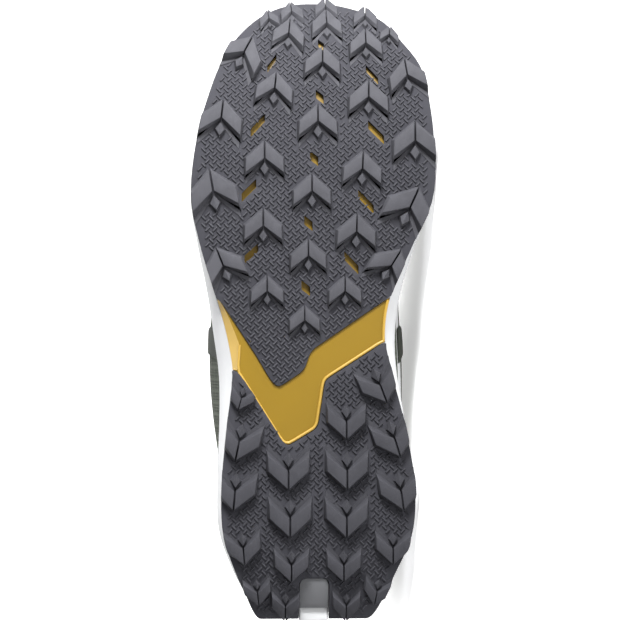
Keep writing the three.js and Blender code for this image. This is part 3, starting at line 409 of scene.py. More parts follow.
class Form:
    """The last's outer form: fanned sections from the toe round the heel to the collar."""

    ankle_swell = 3.2

    def __init__(self) -> None:
        """Make a curve for each column of the section table."""
        numbers = range(len(SECTIONS))

        def column(value_of: Callable[[Section], float]) -> Curve:
            """Return the curve of one value of the sections."""
            return Curve(numbers, [value_of(row) for row in SECTIONS])

        self.columns = {
            "low_along": column(lambda row: row.low[0]),
            "low_lift": column(lambda row: row.low[1]),
            "top_along": column(lambda row: row.top[0]),
            "top_lift": column(lambda row: row.top[1]),
            "lateral": column(lambda row: row.lateral * BALL_WIDTH),
            "medial": column(lambda row: row.medial * BALL_WIDTH),
            "widest": column(lambda row: row.widest),
            "base": column(lambda row: row.base),
            "crown": column(lambda row: row.crown),
            "lean": column(lambda row: row.lean * BALL_WIDTH),
            "wall": column(lambda row: row.wall),
        }
        self.sections: dict[float, dict] = {}

    def section(self, number: float) -> dict:
        """Return a section's values at a fractional section number.

        Args:
            number: The section number.

        Returns:
            The section's values by column name, and its low and top points.
        """
        key = round(number, 5)
        if key not in self.sections:
            found = {name: curve.at(number) for name, curve in self.columns.items()}
            for end in ("low", "top"):
                along = found[f"{end}_along"]
                height = footbed(clamp(along, 0, 1)) + found[f"{end}_lift"] * UPPER_HEIGHT
                found[end] = Vector((x_of(along), 0, height))
            found["base"] = clamp(found["base"], 0.05, 1)
            self.sections[key] = found
        return self.sections[key]

    def front(self, share: float) -> Vector:
        """Return a place on the form's blunt front end, at a share of the way up it."""
        section = self.section(0)
        return section["low"].lerp(section["top"], lerp(0.3, 0.7, share))

    def on_skin(self, number: float, side: Side, share: float) -> Vector:
        """Return a place on the form at a section number and a share of the way up it.

        Args:
            number: The section number.
            side: The side.
            share: The share of the way up the section.

        Returns:
            The place on the standing boot.
        """
        section = self.section(number)
        widest, base = section["widest"], section["base"]
        if share >= widest:
            fullness = math.sqrt(max(0, 1 - ((share - widest) / (1 - widest)) ** section["crown"]))
        else:
            fullness = base + (1 - base) * math.sqrt(1 - ((widest - share) / widest) ** 2)
        point = section["low"].lerp(section["top"], share)
        half = section[side.name.lower()] * fullness
        if side is Side.LATERAL:
            swell = hump(number, 10.2, 2.2) * ease(share, 0.12, 0.35) * (1 - ease(share, 0.6, 0.9))
            half += self.ankle_swell * swell
        point.y = section["lean"] * share**2 + side.value * half
        return point

    def normal(self, number: float, side: Side, share: float) -> Vector:
        """Return the form's outward normal at a place on it.

        Args:
            number: The section number.
            side: The side.
            share: The share of the way up the section.

        Returns:
            The unit normal.
        """
        step = 0.02
        number = clamp(number, step, TOP_SECTION - step)
        share = clamp(share, 0.012, 0.988)
        along = self.on_skin(number + step, side, share) - self.on_skin(number - step, side, share)
        around = self.on_skin(number, side, share + 0.01) - self.on_skin(number, side, share - 0.01)
        normal = along.cross(around).normalized()
        section = self.section(number)
        outward = self.on_skin(number, side, share) - section["low"].lerp(section["top"], 0.5)
        return normal if normal.dot(outward) > 0 else -normal

    def place(self, number: float, side: Side, share: float, grow: float) -> Vector:
        """Return a place that stands off the form by grow."""
        return self.on_skin(number, side, share) + self.normal(number, side, share) * grow

    def wall(self, number: float, share: float) -> float:
        """Return the upper's thickness at a place."""
        return lerp(self.section(number)["wall"], EYESTAY_WALL, ease(share, 0.62, 0.84))

    def share_beside_ridge(self, number: float, side: Side, distance: float) -> float:
        """Return the share up a section at which the skin lies a distance across from the ridge.

        Args:
            number: The section number.
            side: The side.
            distance: The distance from the ridge.

        Returns:
            The share of the way up the section.
        """
        section = self.section(number)
        low, high = section["widest"], 1.0
        for _ in range(24):
            middle = (low + high) / 2
            if abs(self.on_skin(number, side, middle).y - section["lean"]) > distance:
                low = middle
            else:
                high = middle
        return low

    def throat_half_width(self, number: float) -> float:
        """Return half the throat's width at a section number, 0 ahead of it."""
        if number < THROAT_START:
            return 0.0
        opened = clamp((number - THROAT_START) / (TOP_SECTION - THROAT_START), 0, 1)
        return lerp(*THROAT_WIDTHS, opened) / 2 * min(1, 0.45 + 2.5 * (number - THROAT_START))

    def throat_share(self, number: float, side: Side, more: float = 0.0) -> float:
        """Return the share up a section of the throat's edge, moved outwards by more."""
        distance = self.throat_half_width(number) + more
        return 1.0 if distance <= 0 else self.share_beside_ridge(number, side, distance)


FORM = Form()


def line_height(line: Sequence[Point2], along: float) -> float:
    """Return the lift over the footbed of a side-view line at a share along the sole.

    Args:
        line: The line's points, as shares along the sole and lifts in shares of the upper's height.
        along: The share along the sole.

    Returns:
        The lift, as a share of the upper's height.
    """
    previous = line[0]
    for point in line[1:]:
        if along <= point[0]:
            t = clamp((along - previous[0]) / (point[0] - previous[0]), 0, 1)
            return lerp(previous[1], point[1], t)
        previous = point
    return line[-1][1]


def above_line(point: Vector, line: Sequence[Point2]) -> bool:
    """Return whether a place lies above a side-view line."""
    along = along_of(point.x)
    return point.z > footbed(clamp(along, 0, 1)) + line_height(line, along) * UPPER_HEIGHT


# Mesh helpers

def deselect_all() -> None:
    """Leave nothing selected or active."""
    for obj in bpy.context.selected_objects:
        obj.select_set(False)
    bpy.context.view_layer.objects.active = None


def activate(obj: Object) -> None:
    """Select one object and make it active."""
    deselect_all()
    obj.select_set(True)
    bpy.context.view_layer.objects.active = obj


def apply_modifier(obj: Object, kind: str, **settings: object) -> None:
    """Give an object a modifier with the settings and apply it."""
    activate(obj)
    modifier = obj.modifiers.new(kind.title(), kind)
    for name, value in settings.items():
        setattr(modifier, name, value)
    bpy.ops.object.modifier_apply(modifier=modifier.name)


@contextmanager
def editing(obj: Object, action: str = "SELECT") -> Iterator[None]:
    """Keep an object in edit mode, with all of its mesh selected or not.

    Args:
        obj: The object.
        action: What is done to the selection at the start.

    Returns:
        The context.
    """
    activate(obj)
    bpy.ops.object.mode_set(mode="EDIT")
    bpy.ops.mesh.select_all(action=action)
    yield
    bpy.ops.object.mode_set(mode="OBJECT")


def bevel(obj: Object, width: float, segments: int, degrees: float) -> None:
    """Round an object's edges that turn by more than an angle.

    Args:
        obj: The object.
        width: How far a rounding reaches from its edge.
        segments: The number of faces across it.
        degrees: The least angle that is rounded.
    """
    apply_modifier(obj, "BEVEL", width=width, segments=segments, limit_method="ANGLE",
                   angle_limit=math.radians(degrees))


def prism(name: str, outline: Sequence[Point2], low: float, high: float) -> Object:
    """Model a flat prism as a filled outline that is extruded.

    Args:
        name: The object's name.
        outline: The outline's corners in order.
        low: The height that it starts from.
        high: The height that it is extruded to.

    Returns:
        The closed prism.
    """
    deselect_all()
    bpy.ops.mesh.primitive_circle_add(vertices=len(outline), radius=1, fill_type="NGON")
    obj = bpy.context.active_object
    obj.name = name
    for vertex, (x, y) in zip(obj.data.vertices, outline):
        vertex.co = (x, y, low)
    with editing(obj):
        bpy.ops.mesh.extrude_region_move(TRANSFORM_OT_translate={"value": (0, 0, high - low)})
        bpy.ops.mesh.select_all(action="SELECT")
        bpy.ops.mesh.normals_make_consistent(inside=False)
    return obj


def block(name: str, low: Sequence[Vector], high: Sequence[Vector]) -> Object:
    """Model a tapered block from a cube whose corners are moved, as pairs of four corners in order.

    Args:
        name: The object's name.
        low: The four corners of one end, in order.
        high: The four corners of the other end, in the same order.

    Returns:
        The closed block.
    """
    deselect_all()
    bpy.ops.mesh.primitive_cube_add(size=2)
    obj = bpy.context.active_object
    obj.name = name
    corners = {(-1, -1): 0, (1, -1): 1, (1, 1): 2, (-1, 1): 3}
    for vertex in obj.data.vertices:
        corner = corners[(round(vertex.co.x), round(vertex.co.y))]
        vertex.co = (high if vertex.co.z > 0 else low)[corner]
    recalculate_normals(obj)
    return obj


def recalculate_normals(obj: Object, merge: float = 0.0005) -> None:
    """Merge an object's doubles and turn its faces outwards.

    Args:
        obj: The object.
        merge: The distance up to which points are doubles.
    """
    with editing(obj):
        bpy.ops.mesh.remove_doubles(threshold=merge)
        bpy.ops.mesh.normals_make_consistent(inside=False)


def cut(
    obj: Object, cutter: Object, operation: str = "DIFFERENCE", folded: bool = False
) -> None:
    """Cut an object by another one, which is then deleted.

    Args:
        obj: The object.
        cutter: The other object.
        operation: What is kept, by the name of the Boolean operation.
        folded: Whether the object's own parts overlap.
    """
    apply_modifier(obj, "BOOLEAN", object=cutter, operation=operation, solver="EXACT", use_self=folded)
    bpy.data.objects.remove(cutter, do_unlink=True)


def join(name: str, pieces: Sequence[Object]) -> Object:
    """Join pieces into one object and return it.

    Args:
        name: The joined object's name.
        pieces: The pieces.

    Returns:
        The joined object.
    """
    activate(pieces[0])
    for piece in pieces:
        piece.select_set(True)
    if len(pieces) > 1:
        bpy.ops.object.join()
    joined = bpy.context.active_object
    joined.name = name
    return joined


def slice_along(obj: Object, step: float) -> None:
    """Cut a flat piece across at steps along the boot, so that it can follow the rocker.

    Args:
        obj: The flat piece.
        step: The distance between cuts.
    """
    xs = [vertex.co.x for vertex in obj.data.vertices]
    count = int((max(xs) - min(xs)) / step)
    with editing(obj):
        for n in range(1, count + 1):
            bpy.ops.mesh.select_all(action="SELECT")
            bpy.ops.mesh.bisect(plane_co=(min(xs) + n * step, 0, 0), plane_no=(1, 0, 0))


def wrap(obj: Object) -> None:
    """Bend a flat piece onto the tread's rocker."""
    for vertex in obj.data.vertices:
        vertex.co = on_tread(*vertex.co)


def mesh_object(name: str, points: Sequence[Vector], faces: Sequence[Sequence[int]]) -> Object:
    """Make an object from points and faces in standing millimetres."""
    mesh = bpy.data.meshes.new(name)
    mesh.from_pydata([tuple(point) for point in points], [], [tuple(face) for face in faces])
    obj = bpy.data.objects.new(name, mesh)
    bpy.context.scene.collection.objects.link(obj)
    return obj


def grid_object(
    name: str,
    grids: Iterable[Sequence[Sequence[Vector]]],
    flat: Callable[[Vector, float], Point2] | None = None,
) -> Object:
    """Make a surface of quads from grids of points, which are joined where they meet.

    Args:
        name: The object's name.
        grids: Grids of points, as rows of the same length.
        flat: Gives a point's place on the flat cloth from the point and its distance along its row.

    Returns:
        The surface, with a UV map in millimetres: flat's places, or the distances along rows and columns.
    """
    points: list[Vector] = []
    faces: list[tuple[int, ...]] = []
    plan: list[Point2] = []
    for grid in grids:
        start, columns = len(points), len(grid[0])
        down = [0.0] * columns
        for i, row in enumerate(grid):
            across = 0.0
            for j, point in enumerate(row):
                across += (point - row[j - 1]).length if j else 0.0
                down[j] += (point - grid[i - 1][j]).length if i else 0.0
                points.append(point)
                plan.append(flat(point, across) if flat else (across, down[j]))
        for i in range(len(grid) - 1):
            for j in range(columns - 1):
                a = start + i * columns + j
                faces.append((a, a + 1, a + columns + 1, a + columns))
    obj = mesh_object(name, points, faces)
    layer = obj.data.uv_layers.new(name="cloth")
    for loop in obj.data.loops:
        layer.data[loop.index].uv = plan[loop.vertex_index]
    recalculate_normals(obj, 0.01)
    return obj


def bridge_rows(left: Sequence[Vector], right: Sequence[Vector], columns: int = 4) -> list[list[Vector]]:
    """Return a grid that spans from one line of points to another."""
    return [[a.lerp(b, j / columns) for j in range(columns + 1)] for a, b in zip(left, right)]


def closed_stack(name: str, rings: Sequence[Sequence[Vector]]) -> Object:
    """Make a closed skin over a stack of rings whose points j and last - j lie across from each other.

    Args:
        name: The object's name.
        rings: The rings, all of the same even number of points.

    Returns:
        The closed object.
    """
    count = len(rings[0])
    points = [point for ring in rings for point in ring]
    faces: list[tuple[int, ...]] = []
    for i in range(len(rings) - 1):
        for j in range(count):
            k = (j + 1) % count
            faces.append((i * count + j, i * count + k, (i + 1) * count + k, (i + 1) * count + j))
    for base in (0, (len(rings) - 1) * count):
        for j in range(count // 2):
            far = count - 1 - j
            if far - j > 2:
                faces.append((base + j, base + far, base + far - 1, base + j + 1))
            elif far - j == 2:
                faces.append((base + j, base + far, base + j + 1))
    obj = mesh_object(name, points, faces)
    recalculate_normals(obj)
    return obj


def tube_object(name: str, points: Sequence[Vector], radius: float, sides: int = 12) -> Object:
    """Make a round cord along points, with a UV map of the way along and around it in millimetres.

    Args:
        name: The object's name.
        points: The points that its middle follows.
        radius: The cord's radius.
        sides: The number of its sides.

    Returns:
        The closed cord.
    """
    faces: list[tuple[int, ...]] = []
    skin: list[Vector] = []
    plan: list[Point2] = []
    run = 0.0
    lean = Vector((0, 0, 1))
    for n, point in enumerate(points):
        ahead = (points[min(n + 1, len(points) - 1)] - points[max(n - 1, 0)]).normalized()
        lean = (lean - ahead * lean.dot(ahead)).normalized()
        across = ahead.cross(lean)
        run += (point - points[n - 1]).length if n else 0.0
        for j in range(sides):
            angle = 2 * math.pi * j / sides
            skin.append(point + (lean * math.cos(angle) + across * math.sin(angle)) * radius)
            plan.append((run, 2 * math.pi * radius * j / sides))
    for n in range(len(points) - 1):
        for j in range(sides):
            k = (j + 1) % sides
            faces.append((n * sides + j, n * sides + k, (n + 1) * sides + k, (n + 1) * sides + j))
    faces.append(tuple(range(sides)))
    faces.append(tuple((len(points) - 1) * sides + j for j in range(sides)))
    obj = mesh_object(name, skin, faces)
    layer = obj.data.uv_layers.new(name="cloth")
    for loop in obj.data.loops:
        layer.data[loop.index].uv = plan[loop.vertex_index]
    recalculate_normals(obj)
    return obj


def smooth_path(points: Sequence[Vector], steps: int) -> list[Vector]:
    """Return a smooth path of even steps through points."""
    curves = [Curve(range(len(points)), [point[axis] for point in points]) for axis in range(3)]
    last = len(points) - 1
    return [Vector([curve.at(last * n / steps) for curve in curves]) for n in range(steps + 1)]


def inside(point: Point2, polygon: Sequence[Point2]) -> bool:
    """Return whether a point lies inside a polygon.

    Args:
        point: The point.
        polygon: The polygon's corners in order.

    Returns:
        Whether it lies inside.
    """
    x, y = point
    found = False
    for (x0, y0), (x1, y1) in zip(polygon, (*polygon[1:], polygon[0])):
        if (y0 > y) != (y1 > y) and x < (x1 - x0) * (y - y0) / (y1 - y0) + x0:
            found = not found
    return found


def rounded(points: Sequence[Point2], radius: float) -> list[Point2]:
    """Return an open line with each inner corner rounded over a distance of radius.

    Args:
        points: The line's corners.
        radius: How far from a corner its rounding starts.

    Returns:
        The rounded line.
    """
    line = [points[0]]
    for before, corner, after in zip(points, points[1:], points[2:]):
        middle = Vector(corner)
        back, ahead = Vector(before) - middle, Vector(after) - middle
        start = middle + back.normalized() * min(radius, back.length * 0.45)
        end = middle + ahead.normalized() * min(radius, ahead.length * 0.45)
        for n in range(5):
            t = n / 4
            line.append(tuple(start * (1 - t) ** 2 + middle * 2 * t * (1 - t) + end * t**2))
    line.append(points[-1])
    return line


# Materials

def linear(code: str, alpha: float = 1.0) -> tuple[float, float, float, float]:
    """Turn an sRGB hex value into linear colour."""
    channels = [int(code[n : n + 2], 16) / 255 for n in (1, 3, 5)]
    return (*(c / 12.92 if c <= 0.04045 else ((c + 0.055) / 1.055) ** 2.4 for c in channels), alpha)


def add_node(
    tree: NodeTree, kind: str, links: dict | None = None, **settings: object
) -> Node:
    """Add a node with its settings and links.

    Args:
        tree: The material's node tree.
        kind: The node's type.
        links: The sockets that feed its inputs, by input name or number.
        settings: Input values by name with _ for a space, and the node's own properties.

    Returns:
        The new node.
    """
    node = tree.nodes.new(kind)
    for name, value in settings.items():
        if hasattr(node, name) and name not in ("inputs", "outputs"):
            setattr(node, name, value)
        else:
            node.inputs[name.replace("_", " ")].default_value = value
    for name, socket in (links or {}).items():
        tree.links.new(socket, node.inputs[name])
    return node


def add_math(tree: NodeTree, operation: str, *sockets: NodeSocket) -> Node:
    """Add an arithmetic node fed by sockets, in order."""
    return add_node(tree, "ShaderNodeMath", dict(enumerate(sockets)), operation=operation)


@dataclass(frozen=True)
class Finish:
    """A surface: its colours, its gloss, and the grain or weave that its making left."""

    name: str
    colour: str
    shade: str
    roughness: float
    grain_mm: float
    relief_mm: float
    patch_mm: float = 25.0
    specular: float = 0.5
    sheen: float = 0.0
    coat: float = 0.0
    metallic: float = 0.0
    glow: float = 0.0

    def shader(self, material: Material) -> tuple[NodeTree, Node]:
        """Return the material's tree and its main shader with the values that are the same all over.

        Args:
            material: The material.

        Returns:
            The node tree and the shader.
        """
        material.use_nodes = True
        tree = material.node_tree
        shader = tree.nodes["Principled BSDF"]
        shader.inputs["Metallic"].default_value = self.metallic
        shader.inputs["Specular IOR Level"].default_value = self.specular
        shader.inputs["Sheen Weight"].default_value = self.sheen
        shader.inputs["Coat Weight"].default_value = self.coat
        shader.inputs["Emission Strength"].default_value = self.glow
        shader.inputs["Emission Color"].default_value = linear("#ffffff")
        return tree, shader

    def build(self) -> Material:
        """Make the material with a fine grain, and colour and gloss that drift in soft patches."""
        material = bpy.data.materials.new(self.name)
        tree, shader = self.shader(material)
        place = add_node(tree, "ShaderNodeTexCoord").outputs["Object"]
        patches = add_node(tree, "ShaderNodeTexNoise", {"Vector": place},
                           Scale=1000 / self.patch_mm, Detail=3.0)
        tint = add_node(tree, "ShaderNodeMix", {"Factor": patches.outputs["Fac"]}, data_type="RGBA")
        tint.inputs[6].default_value = linear(self.colour)
        tint.inputs[7].default_value = linear(self.shade)
        tree.links.new(tint.outputs[2], shader.inputs["Base Color"])
        gloss = add_node(tree, "ShaderNodeMapRange", {"Value": patches.outputs["Fac"]})
        gloss.inputs["To Min"].default_value = clamp(self.roughness - 0.06, 0, 1)
        gloss.inputs["To Max"].default_value = clamp(self.roughness + 0.06, 0, 1)
        tree.links.new(gloss.outputs["Result"], shader.inputs["Roughness"])
        height = self.relief(tree, place)
        bump = add_node(tree, "ShaderNodeBump", {"Height": height},
                        Distance=self.relief_mm / 1000, Strength=1.0)
        tree.links.new(bump.outputs["Normal"], shader.inputs["Normal"])
        return material

    def relief(self, tree: NodeTree, place: NodeSocket) -> NodeSocket:
        """Return the height of the moulded grain."""
        grain = add_node(tree, "ShaderNodeTexNoise", {"Vector": place},
                         Scale=1000 / self.grain_mm, Detail=2.0)
        return grain.outputs["Fac"]


@dataclass(frozen=True)
class Woven(Finish):
    """Cloth whose threads cross at right angles along the piece's own UV map, in millimetres."""

    ripstop_mm: float = 0.0

    def build(self) -> Material:
        """Make the cloth with threads that rise and darken between crossings."""
        material = super().build()
        tree = material.node_tree
        shader = tree.nodes["Principled BSDF"]
        threads = add_node(tree, "ShaderNodeUVMap", uv_map="cloth").outputs["UV"]
        weave = self.weave(tree, threads)
        base = shader.inputs["Base Color"].links[0].from_socket
        gaps = add_node(tree, "ShaderNodeMix", {"Factor": weave}, data_type="RGBA")
        gaps.inputs[6].default_value = linear(self.shade)
        tree.links.new(base, gaps.inputs[7])
        tree.links.new(gaps.outputs[2], shader.inputs["Base Color"])
        grain = shader.inputs["Normal"].links[0].from_socket
        bump = add_node(tree, "ShaderNodeBump", {"Height": weave, "Normal": grain},
                        Distance=self.relief_mm / 1000)
        tree.links.new(bump.outputs["Normal"], shader.inputs["Normal"])
        return material

    def weave(self, tree: NodeTree, threads: NodeSocket) -> NodeSocket:
        """Return the height of crossing threads, from 0 in the gaps to 1 on the crowns.

        Args:
            tree: The material's node tree.
            threads: The socket of the cloth's UV map in millimetres.

        Returns:
            The socket of the height.
        """
        parts = add_node(tree, "ShaderNodeSeparateXYZ", {"Vector": threads})
        waves = []
        for axis in ("X", "Y"):
            turn = add_node(tree, "ShaderNodeMath", {0: parts.outputs[axis]}, operation="MULTIPLY")
            turn.inputs[1].default_value = math.pi / self.grain_mm
            wave = add_math(tree, "SINE", turn.outputs[0])
            waves.append(add_math(tree, "ABSOLUTE", wave.outputs[0]).outputs[0])
        cloth = add_math(tree, "MULTIPLY", *waves).outputs[0]
        if not self.ripstop_mm:
            return cloth
        for axis in ("X", "Y"):
            turn = add_node(tree, "ShaderNodeMath", {0: parts.outputs[axis]}, operation="PINGPONG")
            turn.inputs[1].default_value = self.ripstop_mm / 2
            near = add_math(tree, "LESS_THAN", turn.outputs[0])
            near.inputs[1].default_value = self.grain_mm * 0.3
            cloth = add_math(tree, "MAXIMUM", cloth, near.outputs[0]).outputs[0]
        return cloth


# Carbon rubber from a sandblasted mould: matt, with a faint grain that scatters the light.
RUBBER_FINISH = Finish("moulded_rubber", "#47474c", "#39393d", 0.7, 0.6, 0.1, patch_mm=6.0, specular=0.18)
# The heel's harder mix of the same rubber, with more carbon in it and so a little darker.
# The same rubber on the heel, a little darker as painted shade for the light that falls off towards the heel.
SHADED_HEEL_RUBBER_FINISH = Finish("heel_rubber_painted_shade", "#3e3e43", "#323236", 0.7, 0.6, 0.1, patch_mm=6.0, specular=0.16)
# The same rubber on the base between the bars, matter and darker: the darkness is painted shade for the shade
# that falls between the bars.
SHADED_BED_FINISH = Finish("bed_rubber_painted_shade", "#3a3a3f", "#313136", 0.8, 0.5, 0.05, specular=0.15)
# Thermoplastic polyurethane from a polished mould: an even ochre with a soft satin gloss.
PLATE_FINISH = Finish("moulded_tpu", "#7b6112", "#755c10", 0.42, 0.4, 0.012, specular=0.3)
# The same plastic on its sloping flank, with the mould's fine texture, and paler as painted light for the
# light that falls on this outward face.
LIT_FLANK_FINISH = Finish("flank_tpu_painted_light", "#b79a57", "#ad8f4a", 0.6, 0.4, 0.03, specular=0.4)
# The same plastic on the raised lip, paler as a painted highlight along its rounded edge.
HIGHLIGHT_LIP_FINISH = Finish("lip_tpu_painted_highlight", "#a98a3c", "#9c7c2c", 0.35, 0.4, 0.012, patch_mm=8.0, specular=0.5)
# Compression-moulded EVA foam: a smooth white skin with a barely wrinkled sheen.
FOAM_FINISH = Finish("moulded_eva_foam", "#c9cacb", "#c0c1c3", 0.55, 0.8, 0.05, specular=0.3)
# The same foam, painted grey as shade where it shows in the heel's recessed notch.
SHADED_NOTCH_FOAM_FINISH = Finish("notch_foam_painted_shade", "#5f6063", "#56575a", 0.6, 0.8, 0.05)
# Ripstop polyester: grey-green threads with a thicker one every 6 mm, drawn 1.5 mm apart so that they show.
FABRIC_FINISH = Woven("ripstop_polyester", "#596051", "#33372f", 0.85, 1.5, 0.3, specular=0.12,
                       sheen=0.06, ripstop_mm=6.0)
# Welded polyurethane film: dark green-grey, matt with a leathery grain.
FILM_FINISH = Finish("welded_pu_film", "#2f332b", "#262923", 0.65, 0.9, 0.09, specular=0.1)
# Brushed polyester lining: dark and soft, with a light edge of raised fibres.
LINING_FINISH = Finish("brushed_lining", "#4b4f47", "#3d413a", 0.95, 0.35, 0.14, sheen=0.4)
# Round braided polyester: threads drawn 0.7 mm apart along the cord.
LACE_FINISH = Woven("braided_polyester", "#3a3d39", "#232522", 0.8, 0.7, 0.2, sheen=0.2)
# Flat woven polyester webbing: dark ribs across a narrow band, drawn 0.8 mm apart.
WEBBING_FINISH = Woven("woven_webbing", "#40433e", "#262825", 0.8, 0.8, 0.2, sheen=0.2)
# Twisted polyester thread, paler than the film so that each stitch shows.
THREAD_FINISH = Finish("polyester_thread", "#8b9080", "#7a7f70", 0.6, 0.3, 0.05, sheen=0.3)
# Painted brass eyelets: satin paint over a stamped ring.
EYELET_FINISH = Finish("painted_brass", "#5a5d60", "#4e5154", 0.38, 0.4, 0.01, metallic=0.6)
# Matt white acrylic studio sweep, lit through from behind, which leaves only soft shadows.
SWEEP_FINISH = Finish("matt_acrylic", "#fbfbfb", "#f8f8f8", 0.9, 5.0, 0.0, patch_mm=900.0, glow=0.45)


def finish_piece(
    obj: Object,
    materials: Sequence[Material],
    replaces: Sequence[str] = (),
    smooth_deg: float = 35.0,
) -> Object:
    """Lay a standing piece in the row's frame, dress it and let it ride with the boot.

    Args:
        obj: The piece in millimetres on the standing boot.
        materials: Its materials, one for each of its mesh's material numbers.
        replaces: The CAD nodes that it stands for.
        smooth_deg: The angle up to which its edges are shaded smooth.

    Returns:
        The finished piece.
    """
    obj.data.transform(TO_ROW)
    for n, material in enumerate(materials):
        if n < len(obj.data.materials):
            obj.data.materials[n] = material
        else:
            obj.data.materials.append(material)
    activate(obj)
    bpy.ops.object.shade_smooth_by_angle(angle=math.radians(smooth_deg))
    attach(obj, "root")
    if replaces:
        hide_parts(*replaces)
    log.info("%s: %d faces", obj.name, len(obj.data.polygons))
    return obj


# The sole

def outline_points(inset: float = 0.0, stations: int = 72) -> list[Point2]:
    """Return the tread's outline in plan, drawn in by an inset.

    Args:
        inset: How far it is drawn in.
        stations: The number of steps on each side.

    Returns:
        The closed outline, up the outer side and back down the inner one.
    """
    sides: dict[Side, list[Point2]] = {Side.LATERAL: [], Side.MEDIAL: []}
    for n in range(stations + 1):
        along = (1 - math.cos(math.pi * n / stations)) / 2
        ends = math.cos(turn_of(along))
        end_share = abs(ends) ** 12
        for side in Side:
            x = x_of(along) - math.copysign(end_share * inset, ends)
            sides[side].append((x, side.value * (half_width(along, side) - inset * (1 - 0.5 * end_share))))
    return [*sides[Side.LATERAL], *reversed(sides[Side.MEDIAL])]


def edge_points(edge: Sequence[Point2]) -> list[Point2]:
    """Return an edge table's points in plan."""
    return [(x_of(along), share * BALL_WIDTH) for along, share in edge]


@dataclass
class Tread:
    """The two rubbers: their bases, chevron lugs, and the small bars of their tread plate."""

    corner_radius: float = 3.2
    edge_round: float = 0.4
    sipe: float = 0.75
    bar_pitch: float = 1.86
    bar_length: float = 3.1
    bar_width: float = 0.85
    bar_height: float = 0.75
    far: float = 400.0
    forefoot_line: list[Point2] = field(default_factory=list)
    heel_line: list[Point2] = field(default_factory=list)

    def __post_init__(self) -> None:
        """Round the corners of the two facing edges."""
        self.forefoot_line = rounded(edge_points(FOREFOOT_EDGE), self.corner_radius)
        self.heel_line = rounded(edge_points(HEEL_EDGE), self.corner_radius)

    def area(self, forefoot: bool) -> list[Point2]:
        """Return the region of plan that a rubber fills, past the outline."""
        far = self.far if forefoot else -self.far
        line = self.forefoot_line if forefoot else self.heel_line
        return [*line, (far, self.far), (far, -self.far)]

    def window_corners(self, window: Window, grow: float = 0.0) -> list[Point2]:
        """Return a window's corners in plan, grown by a distance.

        Args:
            window: The window.
            grow: The distance.

        Returns:
            The four corners in order.
        """
        angle = math.radians(window.turn)
        long = Vector((math.cos(angle), math.sin(angle)))
        centre = Vector((x_of(window.along), window.across * BALL_WIDTH))
        half, wide = window.length / 2 + grow, window.width / 2 + grow
        return [tuple(centre + long * (a * half) + Vector((b * wide, 0))) for a, b in
                ((-1, -1), (1, -1), (1, 1), (-1, 1))]

    def groove_outline(self, grow: float) -> list[Point2]:
        """Return the outline of the heel's notch, grown by a distance.

        Args:
            grow: The distance.

        Returns:
            The outline in plan.
        """
        half = GROOVE_WIDTH / 2 + grow
        front = x_of(1) + GROOVE_LENGTH + grow
        centre = -0.008 * BALL_WIDTH
        corner = 3.0
        low, high = centre - half, centre + half
        return [(-self.far, low), (front - corner, low), (front - 0.9, low + 0.9), (front, low + corner),
                (front, high - corner), (front - 0.9, high - 0.9), (front - corner, high), (-self.far, high)]

    def base(self, forefoot: bool) -> Object:
        """Model a rubber's base, with its windows or its notch.

        Args:
            forefoot: Whether it is the forefoot's rubber.

        Returns:
            The base, bent onto the rocker.
        """
        name = "outsole_forefoot_base" if forefoot else "outsole_heel_base"
        base = prism(name, outline_points(), 0, RUBBER)
        cut(base, prism("area", self.area(forefoot), -9, 9), "INTERSECT")
        if forefoot:
            for window in WINDOWS:
                cut(base, prism("window", rounded_loop(self.window_corners(window, 0.35), 0.6), -9, 9))
        else:
            cut(base, prism("notch", self.groove_outline(0), -9, 9))
        bevel(base, self.edge_round, 2, 40)
        slice_along(base, 3.0)
        wrap(base)
        return base

    def lug_template(self) -> Object:
        """Model one lug of size 1, apex forward: two arms, the ledges behind them and the spike between."""
        half = self.sipe / 2
        pieces = []
        for sign in (-1, 1):
            def ring(points: Sequence[Point2], lift: float) -> list[Vector]:
                """Return four corners at a height, on this arm's side."""
                return [Vector((x, sign * y, lift)) for x, y in points]

            arm = block(
                "arm",
                ring(((7.9, half), (0.1, 8.9), (-6.6, 9.2), (0, half)), -LUG_HEIGHT),
                ring(((9.6, half), (1.0, 10.2), (-10.4, 10.0), (-0.7, half)), 0.8),
            )
            bevel(arm, 0.24, 2, 20)
            ledge = block(
                "ledge",
                ring(((0.3, half), (-6, 9.3), (-12.0, 9.2), (-2.2, half)), -0.4),
                ring(((0.3, half), (-6, 9.5), (-12.3, 9.5), (-2.6, half)), 0.8),
            )
            pieces += [arm, ledge]
        return join("lug", [*pieces, self.spike()])

    def spike(self) -> Object:
        """Model the four-sided spike in a lug's corner, with steep walls and a ridged roof."""
        foot = {"front": (-0.9, 0), "back": (-8.9, 0), "left": (-4.9, 3.0), "right": (-4.9, -3.0)}
        eaves = {"front": (-1.9, 0), "back": (-7.5, 0), "left": (-4.8, 1.9), "right": (-4.8, -1.9)}
        deselect_all()
        bpy.ops.mesh.primitive_cone_add(vertices=4, radius1=1, radius2=0.5, depth=2)
        spike = bpy.context.active_object
        for vertex in spike.data.vertices:
            x, y, z = vertex.co
            name = ("front" if x > 0 else "back") if abs(x) > abs(y) else ("left" if y > 0 else "right")
            eave = -LUG_HEIGHT * (0.66 if name in ("front", "back") else 0.5)
            vertex.co = (*foot[name], 0.8) if z < 0 else (*eaves[name], eave)
        with editing(spike, "DESELECT"):
            for face in bmesh.from_edit_mesh(spike.data).faces:
                face.select_set(all(vertex.co.z < 0 for vertex in face.verts))
            bmesh.update_edit_mesh(spike.data)
            bpy.ops.mesh.poke()
        spike.data.vertices[-1].co = (-4.6, 0, -LUG_HEIGHT * 0.72)
        recalculate_normals(spike)
        return spike

